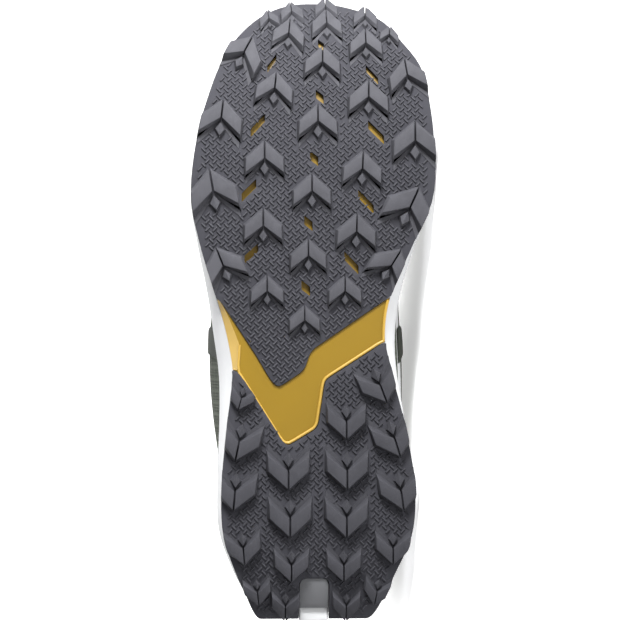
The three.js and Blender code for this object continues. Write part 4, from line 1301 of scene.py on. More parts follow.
    def lugs(self, rows: Sequence[Lug], forefoot: bool) -> Object:
        """Copy the lug to every place of a table, cut at the sole's outline.

        Args:
            rows: The table of lugs.
            forefoot: Whether it is the forefoot's table.

        Returns:
            The lugs, bent onto the rocker.
        """
        template = self.lug_template()
        points: list[Vector] = []
        faces: list[list[int]] = []
        for row in rows:
            angle = math.radians(row.turn if forefoot else 180 - row.turn)
            size = row.size
            near_end = ease(row.along, 0, 0.08) * (1 - ease(row.along, 0.94, 1))
            deep = min(1, 0.55 + 0.45 * size) * lerp(0.6, 1, near_end)
            turn = Matrix.Rotation(angle, 4, "Z")
            start = len(points)
            place = Vector((x_of(row.along), row.across * BALL_WIDTH, 0))
            for vertex in template.data.vertices:
                local = Vector((vertex.co.x * size, vertex.co.y * size, vertex.co.z * deep))
                points.append(turn @ local + place)
            faces += [[start + n for n in polygon.vertices] for polygon in template.data.polygons]
        bpy.data.objects.remove(template, do_unlink=True)
        lugs = mesh_object("outsole_forefoot_lugs" if forefoot else "outsole_heel_lugs", points, faces)
        rim = prism("rim", outline_points(-0.15), -12, 12)
        if forefoot:
            for vertex in rim.data.vertices:
                if vertex.co.x > x_of(0.03):
                    vertex.co.x += 0.6
        cut(lugs, rim, "INTERSECT", folded=True)
        cut(lugs, prism("area", self.area(forefoot), -14, 14), "INTERSECT", folded=True)
        wrap(lugs)
        return lugs

    def under_lug(self, point: Point2, rows: Sequence[Lug], forefoot: bool) -> bool:
        """Return whether a lug covers a place on the base.

        Args:
            point: The place in plan.
            rows: The table of lugs.
            forefoot: Whether it is the forefoot's table.

        Returns:
            Whether it is covered.
        """
        for row in rows:
            angle = math.radians(row.turn if forefoot else 180 - row.turn)
            dx, dy = point[0] - x_of(row.along), point[1] - row.across * BALL_WIDTH
            x = (dx * math.cos(angle) + dy * math.sin(angle)) / row.size
            y = abs(-dx * math.sin(angle) + dy * math.cos(angle)) / row.size
            if y < 10.6 and -2.4 - 1.02 * y < x < 10.4 - 0.9 * y:
                return True
            if y < 3.2 and -8.6 < x < 0:
                return True
        return False

    def bars(self, forefoot: bool) -> Object:
        """Cover the open base with a basket pattern of short raised bars.

        Args:
            forefoot: Whether it is the forefoot's rubber.

        Returns:
            The bars, bent onto the rocker.
        """
        rows = FOREFOOT_LUGS if forefoot else HEEL_LUGS
        length, width, height = self.bar_length / 2, self.bar_width / 2, self.bar_height
        low = [Vector((a * length, b * width, 0.1)) for a, b in ((-1, -1), (1, -1), (1, 1), (-1, 1))]
        high = [Vector((a * (length - 0.3), b * (width - 0.25), -height)) for a, b in
                ((-1, -1), (1, -1), (1, 1), (-1, 1))]
        template = block("bar", low, high)
        rim = outline_points(2.0)
        area = self.area(forefoot)
        windows = [self.window_corners(window, 1.0) for window in WINDOWS] if forefoot else []
        notch = [] if forefoot else self.groove_outline(1.2)
        points: list[Vector] = []
        faces: list[list[int]] = []
        start, end = (0.0, 0.64) if forefoot else (0.54, 1.0)
        count = int(SOLE_LENGTH / self.bar_pitch)
        for i in range(int(start * count), int(end * count) + 1):
            for j in range(-34 + i % 2, 35, 2):
                point = (x_of(i / count), j * self.bar_pitch)
                near = [(point[0] + a, point[1] + b) for a, b in ((-1.5, 0), (1.5, 0), (0, -1.5), (0, 1.5))]
                if not all(inside(p, rim) and inside(p, area) for p in near):
                    continue
                if any(inside(point, window) for window in windows) or (notch and inside(point, notch)):
                    continue
                if self.under_lug(point, rows, forefoot):
                    continue
                turn = Matrix.Rotation(math.radians(45 if i % 2 else -45), 4, "Z")
                first = len(points)
                points += [turn @ vertex.co + Vector((*point, 0)) for vertex in template.data.vertices]
                faces += [[first + n for n in polygon.vertices] for polygon in template.data.polygons]
        bpy.data.objects.remove(template, do_unlink=True)
        bars = mesh_object("outsole_forefoot_bars" if forefoot else "outsole_heel_bars", points, faces)
        wrap(bars)
        return bars

    def build(self, rubber: Material, heel_shade: Material, bed: Material) -> None:
        """Build and dress both rubbers.

        Args:
            rubber: The forefoot's rubber.
            heel_shade: The heel's rubber, darker as painted shade.
            bed: The rubber between the bars, darker as painted shade.
        """
        # The heel's lugs and bars take the darker rubber: painted shade for the light that falls off towards
        # the heel.
        for forefoot, node, rubber_and_heel_shade in ((True, "outsole_forefoot", rubber), (False, "outsole_heel", heel_shade)):
            rows = FOREFOOT_LUGS if forefoot else HEEL_LUGS
            base = self.base(forefoot)
            lugs = self.lugs(rows, forefoot)
            bars = self.bars(forefoot)
            # The base takes the darker bed rubber: painted shade between the bars.
            finish_piece(base, [bed], [node], 30)
            finish_piece(lugs, [rubber_and_heel_shade], [node], 30)
            finish_piece(bars, [rubber_and_heel_shade], [node], 20)


def rounded_loop(corners: Sequence[Point2], radius: float) -> list[Point2]:
    """Return a closed outline with every corner rounded."""
    line = rounded([corners[-1], *corners, corners[0]], radius)
    return line[1:-1]


@dataclass
class ShankPlate:
    """The ochre plate: a sheet above the rubbers, the band between them, and the band's lip."""

    recess: float = 1.0
    gap: float = 0.25
    lip_inset: float = 0.8
    lip_radius: float = 0.75
    flank: tuple[Point2, ...] = (
        (0.465, 0.0), (0.491, 1.8), (0.528, 3.7), (0.5585, 5.2),
        (0.579, 3.7), (0.597, 2.5), (0.6185, 1.0), (0.63, 0.0),
    )

    def flank_width(self, along: float) -> float:
        """Return the width of the band's sloping outer flank at a share along the sole."""
        if not self.flank[0][0] < along < self.flank[-1][0]:
            return 0.0
        return line_height(self.flank, along)

    def band(self, tread: Tread) -> Object:
        """Model the band; its lower face is drawn in on the outer side, which leaves the sloping flank.

        Args:
            tread: The rubbers that it lies between.

        Returns:
            The band, bent onto the rocker.
        """
        forefoot = [(x - self.gap * 1.6, y) for x, y in tread.forefoot_line]
        heel = [(x + self.gap * 1.6, y) for x, y in tread.heel_line]
        band = prism("shank_plate_band", [*forefoot, *reversed(heel)], self.recess, RUBBER + PLATE)
        cut(band, prism("rim", outline_points(0.3, 200), -9, 9), "INTERSECT")
        for vertex in band.data.vertices:
            along = along_of(vertex.co.x)
            edge = half_width(along, Side.LATERAL) + vertex.co.y
            if vertex.co.z < self.recess + 0.1 and vertex.co.y < 0 and edge < 1.2:
                vertex.co.y += self.flank_width(along)
        slice_along(band, 3.0)
        wrap(band)
        return band

    def lip_route(self, tread: Tread) -> list[Point2]:
        """Return the lip's route in plan: down the flank's edge, along the heel rubber and up the inner end.

        Args:
            tread: The rubbers.

        Returns:
            The route's points.
        """
        route = []
        for n in range(6):
            along = lerp(0.5585, 0.592, n / 5)
            route.append((x_of(along), -half_width(along, Side.LATERAL) + self.flank_width(along) + 0.3))
        rim = outline_points(self.lip_inset + 0.5, 200)
        line = [Vector(point) for point in tread.heel_line]
        for before, point, after in zip(line, line[1:], line[2:]):
            ahead = (after - before).normalized()
            beside = Vector((abs(ahead.y), -math.copysign(ahead.x, ahead.y)))
            shifted = point + beside * (self.lip_inset + self.gap)
            if inside(tuple(shifted), rim) and shifted.y > route[-1][1] + 0.3:
                route.append(tuple(shifted))
        for n in range(8):
            along = lerp(0.552, 0.486, n / 7)
            route.append((x_of(along), half_width(along, Side.MEDIAL) - self.lip_inset - 0.2))
        return route

    def lip(self, tread: Tread) -> Object:
        """Model the rounded lip that stands along the band's edges.

        Args:
            tread: The rubbers.

        Returns:
            The lip.
        """
        route = []
        corners = self.lip_route(tread)
        for before, after in zip(corners, corners[1:]):
            steps = max(1, round((Vector(after) - Vector(before)).length / 2.5))
            route += [Vector(before).lerp(Vector(after), n / steps) for n in range(steps)]
        lift = self.recess - 0.25
        places = [on_tread(*point, lift) for point in [*route, Vector(corners[-1])]]
        return tube_object("shank_plate_lip", places, self.lip_radius, 10)

    def sheet(self) -> Object:
        """Model the sheet that shows through the forefoot's windows."""
        low = RUBBER + CLEARANCE
        sheet = prism("shank_plate_sheet", outline_points(6.0), low, low + PLATE - 0.1)
        with editing(sheet):
            bpy.ops.mesh.bisect(plane_co=(x_of(0.76), 0, 0), plane_no=(1, 0, 0),
                                clear_inner=True, use_fill=True)
        slice_along(sheet, 4.0)
        wrap(sheet)
        return sheet

    def build(self, tread: Tread, plastic: Material, lit_flank: Material,
              lip_highlight: Material) -> None:
        """Build and dress the plate.

        Args:
            tread: The rubbers that it lies between.
            plastic: The satin plastic.
            lit_flank: The flank's plastic, paler as painted light.
            lip_highlight: The lip's plastic, paler as a painted highlight.
        """
        band = self.band(tread)
        # The faces that turn outwards and down take the paler plastic: painted light on the face that the
        # lamp catches.
        for polygon in band.data.polygons:
            if polygon.normal.y < -0.2 and polygon.normal.z < -0.2 and polygon.center.y < -20:
                polygon.material_index = 1
        finish_piece(band, [plastic, lit_flank], ["shank_plate"], 20)
        # The lip takes the paler plastic: a painted highlight.
        finish_piece(self.lip(tread), [lip_highlight], ["shank_plate"], 40)
        finish_piece(self.sheet(), [plastic], ["shank_plate"], 40)


@dataclass
class Midsole:
    """The foam cup between the plate and the upper, with a line pressed along its wall."""

    stations: int = 84
    line_depth: float = 1.1
    fin_reach: float = 3.4
    fin_front: float = 4.4
    fin_height: float = 15.0

    def ring(self, t: float) -> list[Vector]:
        """Return a ring of the wall at a share t of the way up it.

        Args:
            t: The share.

        Returns:
            The ring, up the outer side and back down the inner one.
        """
        low = RUBBER + PLATE + 2 * CLEARANCE
        bulge = Curve((0, 0.22, 0.5, 0.78, 1), (0, 0.75, 1, 1, 1)).at(t)
        tuck = Curve((0, 0.5, 0.78, 1), (0, 0, 0.4, 1)).at(t)
        line = math.exp(-(((t - 0.6) / 0.035) ** 2)) * self.line_depth
        sides: dict[Side, list[Vector]] = {Side.LATERAL: [], Side.MEDIAL: []}
        for n in range(self.stations + 1):
            along = (1 - math.cos(math.pi * n / self.stations)) / 2
            ends = math.cos(turn_of(along))
            end_share = abs(ends) ** 12
            fade = ease(along, 0.02, 0.12)
            for side in Side:
                grow = bulge * SPREADS[side].at(turn_of(along)) - tuck * TUCK.at(turn_of(along)) - line * fade
                place = clamp(along - math.copysign(end_share * grow, ends) / SOLE_LENGTH, -0.02, 1.02)
                slope = tread_slope(place)
                x = x_of(place) + end_reach(place) * (1 - t) - math.sin(slope) * low
                z = tread_height(place) + math.cos(slope) * low
                share = clamp(along_of(x), 0, 1)
                y = side.value * (half_width(along, side) + grow * (1 - 0.5 * end_share))
                sides[side].append(Vector((x, y, lerp(z, max(self.rim(share), z + 5), t))))
        return [*sides[Side.LATERAL], *reversed(sides[Side.MEDIAL])]

    def rim(self, along: float) -> float:
        """Return the height of the cup's rim."""
        rise = 0.25 * ease(along, 0.55, 0.9) + 0.35 * (1 - ease(along, 0.05, 0.2))
        return footbed(along) + RIM * (0.75 + rise)

    def seat(self, levels: Sequence[float]) -> list[list[Vector]]:
        """Return rings that follow the upper's form inside the cup, from its rim down to the footbed.

        Args:
            levels: The rings' places between the rim, 0, and the footbed, 1.

        Returns:
            The rings, point by point across from the wall's last ring.
        """
        shares = crowded_steps(24)
        grids = [[[FORM.place(n / 4, side, share, 0.1) for share in shares] for n in range(4 * 17)]
                 for side in Side]
        form = grid_object("form", grids)
        skin = BVHTree.FromPolygons([vertex.co for vertex in form.data.vertices],
                                    [polygon.vertices for polygon in form.data.polygons])
        bpy.data.objects.remove(form, do_unlink=True)
        rings = []
        for level in levels:
            ring = []
            for point in self.ring(1):
                floor = footbed(clamp(along_of(point.x), 0, 1))
                start = Vector((point.x, point.y, lerp(point.z - 0.2, floor, level)))
                axis = Vector((clamp(point.x, x_of(0.84), x_of(0.16)), 0, start.z))
                way = (axis - start).normalized()
                hit = skin.ray_cast(start - way * 8, way)[0]
                ring.append(hit if hit and (hit - start).length < 30 else start + way * 4)
            rings.append(ring)
        return rings

    def wall(self) -> Object:
        """Model the cup."""
        levels = (0, 0.03, 0.1, 0.2, 0.32, 0.44, 0.52, 0.56, 0.59,
                  0.61, 0.64, 0.68, 0.76, 0.86, 0.94, 0.985, 1)
        cup = closed_stack("midsole_cup", [*(self.ring(t) for t in levels), *self.seat((0, 0.35, 0.7, 1))])
        bevel(cup, 1.0, 3, 50)
        return cup

    def fin(self) -> Object:
        """Model the fin that stands out of the heel's notch."""
        low = tread_height(1) - 1
        back = x_of(1) - self.fin_reach
        half = GROOVE_WIDTH / 2 - 0.15
        centre = -0.008 * BALL_WIDTH

        def ring(x0: float, x1: float, z0: float, z1: float) -> list[Vector]:
            """Return four corners from the fin's back edge to its front one."""
            return [Vector((x0, centre - half, z0)), Vector((x1, centre - half, z1)),
                    Vector((x1, centre + half, z1)), Vector((x0, centre + half, z0))]

        front, high = x_of(1) + self.fin_front + 1, low + self.fin_height
        fin = block("heel_fin", ring(back + 0.6, front, low + 0.4, low + 0.6),
                    ring(back + 1.2, front, high, high + 3))
        bevel(fin, 1.2, 4, 30)
        return fin

    def channel(self, tread: Tread) -> Object:
        """Model the bed of the heel's notch, painted grey as shade, dished between two rails.

        Args:
            tread: The rubbers.

        Returns:
            The bed, bent onto the rocker.
        """
        outline = [(max(x, x_of(1) + self.fin_front), y) for x, y in tread.groove_outline(-0.3)]
        channel = prism("heel_channel", outline, 1.0, RUBBER + PLATE + 1.5)
        with editing(channel, "DESELECT"):
            for face in bmesh.from_edit_mesh(channel.data).faces:
                face.select_set(face.normal.z < -0.9)
            bmesh.update_edit_mesh(channel.data)
            bpy.ops.mesh.inset(thickness=1.7, depth=0)
            bpy.ops.mesh.inset(thickness=1.0, depth=-1.3)
        bevel(channel, 0.4, 2, 30)
        slice_along(channel, 3.0)
        wrap(channel)
        return channel

    def build(self, tread: Tread, foam: Material, grey: Material) -> None:
        """Build and dress the midsole.

        Args:
            tread: The rubbers.
            foam: The white foam.
            grey: The notch's foam, painted grey as shade.
        """
        finish_piece(self.wall(), [foam], ["midsole"], 40)
        finish_piece(self.fin(), [foam], ["midsole"], 40)
        # The notch's bed takes the grey foam: painted shade.
        finish_piece(self.channel(tread), [grey], ["midsole"], 40)


# The upper

@dataclass
class Upper:
    """The fabric shell with its padded collar, its welded overlays and straps, its tongue and its insole."""

    columns: int = 22
    low_rows: int = 44
    high_rows: int = 26
    fixed_until: float = 12.0
    thickest: float = 8.0
    round_ends: Point2 = (100.0, -78.0)
    end_radius: float = 43.0
    strap_half: Point2 = (0.34, 0.24)
    straps: tuple[Point2, ...] = ((5.3, 6.3), (7.0, 8.2), (8.6, 10.0))

    def collar_number(self, side: Side, column: float) -> float:
        """Return the section number at which a column of the shell meets the collar's line.

        Args:
            side: The side.
            column: The column, as a share of the way from the sole to the throat.

        Returns:
            The section number.
        """
        low, high = self.fixed_until, float(TOP_SECTION)
        for _ in range(22):
            middle = (low + high) / 2
            point = FORM.on_skin(middle, side, column * FORM.throat_share(middle, side))
            if above_line(point, COLLAR_LINE):
                high = middle
            else:
                low = middle
        return low

    def grid(self, side: Side) -> list[list[Vector]]:
        """Return the shell's outer surface on a side, in rows from the toe to the collar.

        Args:
            side: The side.

        Returns:
            The rows of points.
        """
        before = [THROAT_START * n / 16 for n in range(16)]
        after = even_steps(THROAT_START, self.fixed_until, self.low_rows - 16)
        rows = [*before, *after]
        shares = crowded_steps(self.columns)
        ends = [self.collar_number(side, share) for share in shares]
        grid = [[FORM.front(share) for share in shares]]
        for n in range(len(rows) + self.high_rows):
            row = []
            for share, end in zip(shares, ends):
                if n < len(rows):
                    number = rows[n]
                else:
                    number = lerp(self.fixed_until, end, (n - len(rows) + 1) / self.high_rows)
                up = share * FORM.throat_share(number, side)
                row.append(FORM.place(number, side, up, self.crease(number, up)))
            grid.append(row)
        return grid

    def flat_cloth(self, point: Vector, across: float) -> Point2:
        """Return a skin place on flat cloth: threads run along the boot and up it, and turn round its ends.

        Args:
            point: The place.
            across: Its distance up the section from the sole.

        Returns:
            The place on the cloth in millimetres.
        """
        toe, heel = self.round_ends
        along = point.x
        if point.x > toe:
            along = toe + self.end_radius * math.atan2(point.x - toe, abs(point.y))
        elif point.x < heel:
            along = heel - self.end_radius * math.atan2(heel - point.x, abs(point.y))
        lift = point.z - footbed(clamp(along_of(point.x), 0, 1))
        return along, lerp(lift, across, ease(point.x, -30, 50))

    def crease(self, number: float, share: float) -> float:
        """Return how far soft folds raise or sink the skin, where the boot bends and at the ankle."""
        bend = hump(number, 6.6, 1.5) * ease(share, 0.25, 0.6)
        ankle = hump(number, 14.5, 2.6) * ease(share, 0.3, 0.5) * (1 - ease(share, 0.75, 0.95))
        at_bend = 0.5 * bend * math.sin(4.2 * number + 3 * share)
        return at_bend + 0.7 * ankle * math.sin(2.6 * number - 5 * share)

    def shell(self) -> Object:
        """Make the shell as a sheet that is given the upper's varying thickness inwards."""
        sides = [self.grid(side) for side in Side]
        first = next(n for n, row in enumerate(sides[0]) if row[0].z > footbed(1) + 4 and row[0].x < 0)
        seam = bridge_rows(*([row[0] for row in rows[first - 1 :]] for rows in sides))
        shell = grid_object("upper_shell", [*sides, seam], self.flat_cloth)
        orient_outwards(shell)
        # Two slots, fabric and lining, let Solidify number the inner faces.
        for _ in range(2):
            shell.data.materials.append(None)
        group = shell.vertex_groups.new(name="wall")
        for vertex in shell.data.vertices:
            group.add([vertex.index], self.wall_share(vertex.co), "REPLACE")
        apply_modifier(shell, "SOLIDIFY", thickness=self.thickest, offset=-1.0, vertex_group="wall",
                       use_even_offset=False, material_offset=1, material_offset_rim=0)
        apply_modifier(shell, "SUBSURF", levels=1, render_levels=1)
        return shell

    def wall_share(self, point: Vector) -> float:
        """Return the wall at a place on the skin, as a share of the thickest."""
        lift = (point.z - footbed(clamp(along_of(point.x), 0, 1))) / UPPER_HEIGHT
        back = ease(-point.x, 10, 60)
        padded = ease(lift, 0.5, 0.85) * back
        return lerp(lerp(2.4, 4.0, back), 7.8, padded) / self.thickest

    def panel(
        self,
        name: str,
        numbers: Sequence[float],
        shares: Callable[[float, Side], tuple[float, float]],
        columns: int,
    ) -> Object:
        """Make a thin welded panel on the skin.

        Args:
            name: The object's name.
            numbers: The section numbers of its rows.
            shares: Gives the lowest and highest share of a section that it covers.
            columns: Its number of columns on each side.

        Returns:
            The closed panel with its edges rounded off.
        """
        grids = []
        for side in Side:
            grid = []
            for number in numbers:
                low, high = shares(number, side)
                row = []
                for j in range(columns + 1):
                    share = lerp(low, high, j / columns)
                    row.append(FORM.place(number, side, share, FILM_GAP + self.crease(number, share)))
                grid.append(row)
            if numbers[0] == 0:
                ahead = Vector((FILM_GAP, 0, 0))
                grid.insert(0, [FORM.front(j / columns) + ahead for j in range(columns + 1)])
            grids.append(grid)
        back = [(a[0], b[0]) for a, b in zip(*grids) if a[0].x < x_of(0.9) and a[0].z > footbed(1)]
        if back:
            grids.append(bridge_rows([a for a, _ in back], [b for _, b in back]))
        return self.film(name, grids, OVERLAY)

    def film(self, name: str, grids: Sequence[list[list[Vector]]], thickness: float) -> Object:
        """Give grids on the skin a film's thickness and round off its edges."""
        panel = grid_object(name, grids)
        orient_outwards(panel)
        apply_modifier(panel, "SOLIDIFY", thickness=thickness, offset=1.0, use_even_offset=False)
        apply_modifier(panel, "SUBSURF", levels=1, render_levels=1)
        return panel

    def crossing(self, number: float, side: Side, covers: Callable[[Vector], bool]) -> float:
        """Return the highest share of a section that a test from the bottom still covers.

        Args:
            number: The section number.
            side: The side.
            covers: The test.

        Returns:
            The share.
        """
        if not covers(FORM.on_skin(number, side, 0.0)):
            return 0.0
        low, high = 0.0, 1.0
        if covers(FORM.on_skin(number, side, 1.0)):
            return 1.0
        for _ in range(20):
            middle = (low + high) / 2
            if covers(FORM.on_skin(number, side, middle)):
                low = middle
            else:
                high = middle
        return low

    def up_to_edge(self, covers: Callable[[Vector], bool]) -> Callable[[float, Side], tuple[float, float]]:
        """Return the shares of a panel that runs from the sole up to the edge of what a test covers."""
        return lambda number, side: (0.0, max(0.02, self.crossing(number, side, covers)))

    def toe_cap(self) -> Object:
        """Make the toe cap and the low rand that runs back from it."""
        numbers = [6.2 * n / 48 for n in range(49)]
        return self.panel("toe_cap_film", numbers, self.up_to_edge(self.under_cap), 16)

    @staticmethod
    def under_cap(point: Vector) -> bool:
        """Return whether the toe cap covers a place on the skin."""
        return along_of(point.x) < TOE_CAP_LINE[0][0] or not above_line(point, TOE_CAP_LINE)

    @staticmethod
    def under_counter(point: Vector) -> bool:
        """Return whether the heel counter covers a place on the skin."""
        return along_of(point.x) > COUNTER_LINE[0][0] and not above_line(point, (*COUNTER_LINE, (1.08, 0.6)))

    def heel_counter(self) -> Object:
        """Make the stiff counter round the heel."""
        numbers = even_steps(9.95, 16.6, 40)
        return self.panel("heel_counter_film", numbers, self.up_to_edge(self.under_counter), 14)

    def eyestay(self) -> Object:
        """Make the band round the throat that carries the eyelets."""
        end = min(self.collar_number(side, 0.9) for side in Side)

        def shares(number: float, side: Side) -> tuple[float, float]:
            """Return the shares of the band's outer and inner edges."""
            inner = FORM.throat_half_width(number) + 0.9 if number > THROAT_START - 0.06 else 0.0
            high = 1.0 if inner <= 0 else FORM.share_beside_ridge(number, side, inner)
            return FORM.share_beside_ridge(number, side, self.eyestay_reach(number)), high

        numbers = [*even_steps(EYESTAY_START, THROAT_START - 0.06, 5),
                   *even_steps(THROAT_START - 0.055, end, 54)]
        return self.panel("eyestay_film", numbers, shares, 8)

    def eyestay_reach(self, number: float) -> float:
        """Return how far from the ridge the eyestay's outer edge lies at a section number."""
        spread = min(1, 0.6 + number - EYESTAY_START)
        return FORM.throat_half_width(number) + EYESTAY_BAND * spread

    def strap(self, name: str, low: float, high: float) -> Object:
        """Make a pair of straps that run up the boot's sides from the sole to the eyestay.

        Args:
            name: The object's name.
            low: The section number at which the straps start, at the sole.
            high: The section number at which they meet the eyestay.

        Returns:
            The two straps as one object.
        """
        grids = []
        for side in Side:
            top = FORM.share_beside_ridge(high, side, self.eyestay_reach(high) - 3)
            grid = []
            for n in range(29):
                share = lerp(0.06, top, n / 28)
                middle = lerp(low, high, ease(n / 28, 0, 1.15))
                half = lerp(self.strap_half[0], self.strap_half[1], n / 28)
                across = [middle + half * v / 4 for v in range(-4, 5)]
                grid.append([FORM.place(number, side, share, 0.08 + self.crease(number, share))
                             for number in across])
            grids.append(grid)
        return self.film(name, grids, 0.8)

    def tongue(self) -> Object:
        """Make the padded tongue under the throat."""
        ends = {}
        for column in range(-12, 13):
            side = Side.LATERAL if column < 0 else Side.MEDIAL
            low, high = 12.0, float(TOP_SECTION)
            for _ in range(20):
                middle = (low + high) / 2
                if above_line(self.tongue_point(middle, side, abs(column) / 12), TONGUE_LINE):
                    high = middle
                else:
                    low = middle
            ends[column] = low
        grid = []
        for n in range(61):
            row = []
            for column in range(-12, 13):
                side = Side.LATERAL if column < 0 else Side.MEDIAL
                number = lerp(THROAT_START - 0.4, ends[column], n / 60)
                row.append(self.tongue_point(number, side, abs(column) / 12))
            grid.append(row)
        tongue = grid_object("tongue_pad", [grid])
        orient_outwards(tongue)
        apply_modifier(tongue, "SOLIDIFY", thickness=TONGUE, offset=-1.0, use_even_offset=False)
        apply_modifier(tongue, "SUBSURF", levels=1, render_levels=1)
        return tongue

    def tongue_point(self, number: float, side: Side, reach: float) -> Vector:
        """Return a place on the tongue's outer face, at a share of its half width from the ridge."""
        half = (FORM.throat_half_width(max(number, THROAT_START)) + 11) * reach
        share = 1.0 if half < 0.3 else FORM.share_beside_ridge(number, side, half)
        pad = 0.5 * math.sin(math.pi * (1 - reach)) - 0.6 * reach**2
        return FORM.place(number, side, share, -FORM.wall(number, share) - 0.5 + pad * 0.5)

    def insole(self) -> Object:
        """Make the sock that lies on the footbed."""
        grid = []
        numbers = [0.35 + 13.0 * n / 60 for n in range(61)]
        for number in numbers:
            section = FORM.section(number)
            rise = footbed(clamp(section["low_along"], 0, 1)) + INSOLE - section["low"].z
            share = clamp(rise / max(1.0, (section["top"] - section["low"]).z), 0.01, 0.9)
            left = FORM.place(number, Side.LATERAL, share, -FORM.wall(number, share) - 0.9)
            right = FORM.place(number, Side.MEDIAL, share, -FORM.wall(number, share) - 0.9)
            row = []
            for j in range(15):
                t = j / 14
                point = left.lerp(right, t)
                cup = 2.0 * abs(2 * t - 1) ** 4 * ease(number, 7, 12)
                point.z = footbed(clamp(along_of(point.x), 0, 1)) + INSOLE + cup
                row.append(point)
            grid.append(row)
        insole = grid_object("insole_sock", [grid])
        orient_upwards(insole)
        apply_modifier(insole, "SOLIDIFY", thickness=INSOLE - 0.6, offset=-1.0)
        apply_modifier(insole, "SUBSURF", levels=1, render_levels=1)
        return insole

    def build(self, fabric: Material, film: Material, lining: Material) -> None:
        """Build and dress the upper and what is welded or sewn to it.

        Args:
            fabric: The outer fabric.
            film: The overlays' film.
            lining: The lining.
        """
        finish_piece(self.shell(), [fabric, lining], ["upper"], 60)
        finish_piece(self.toe_cap(), [film], ["toe_cap"], 60)
        finish_piece(self.heel_counter(), [film], ["heel_counter"], 60)
        finish_piece(self.eyestay(), [film], ["eyestay"], 60)
        for n, (low, high) in enumerate(self.straps):
            finish_piece(self.strap(f"side_strap_{n + 1}", low, high), [film], (), 60)
        finish_piece(self.tongue(), [fabric], ["tongue"], 60)
        finish_piece(self.insole(), [lining], ["insole"], 60)


def orient_outwards(obj: Object) -> None:
    """Turn an open sheet's faces away from the boot's inside.

    Args:
        obj: The sheet.
    """
    flip = 0.0
    for polygon in obj.data.polygons:
        centre = polygon.center
        along = clamp(along_of(centre.x), 0.1, 0.82)
        axis = Vector((x_of(along), 0, footbed(along) + 0.25 * UPPER_HEIGHT))
        flip += polygon.normal.dot((centre - axis).normalized()) * polygon.area
    if flip < 0:
        obj.data.flip_normals()


def orient_upwards(obj: Object) -> None:
    """Turn an open sheet's faces upwards."""
    if sum(polygon.normal.z * polygon.area for polygon in obj.data.polygons) < 0:
        obj.data.flip_normals()


class Seam(NamedTuple):
    """A place on a seam: where its stitch lies on the skin and the way it faces."""

    point: Vector
    normal: Vector


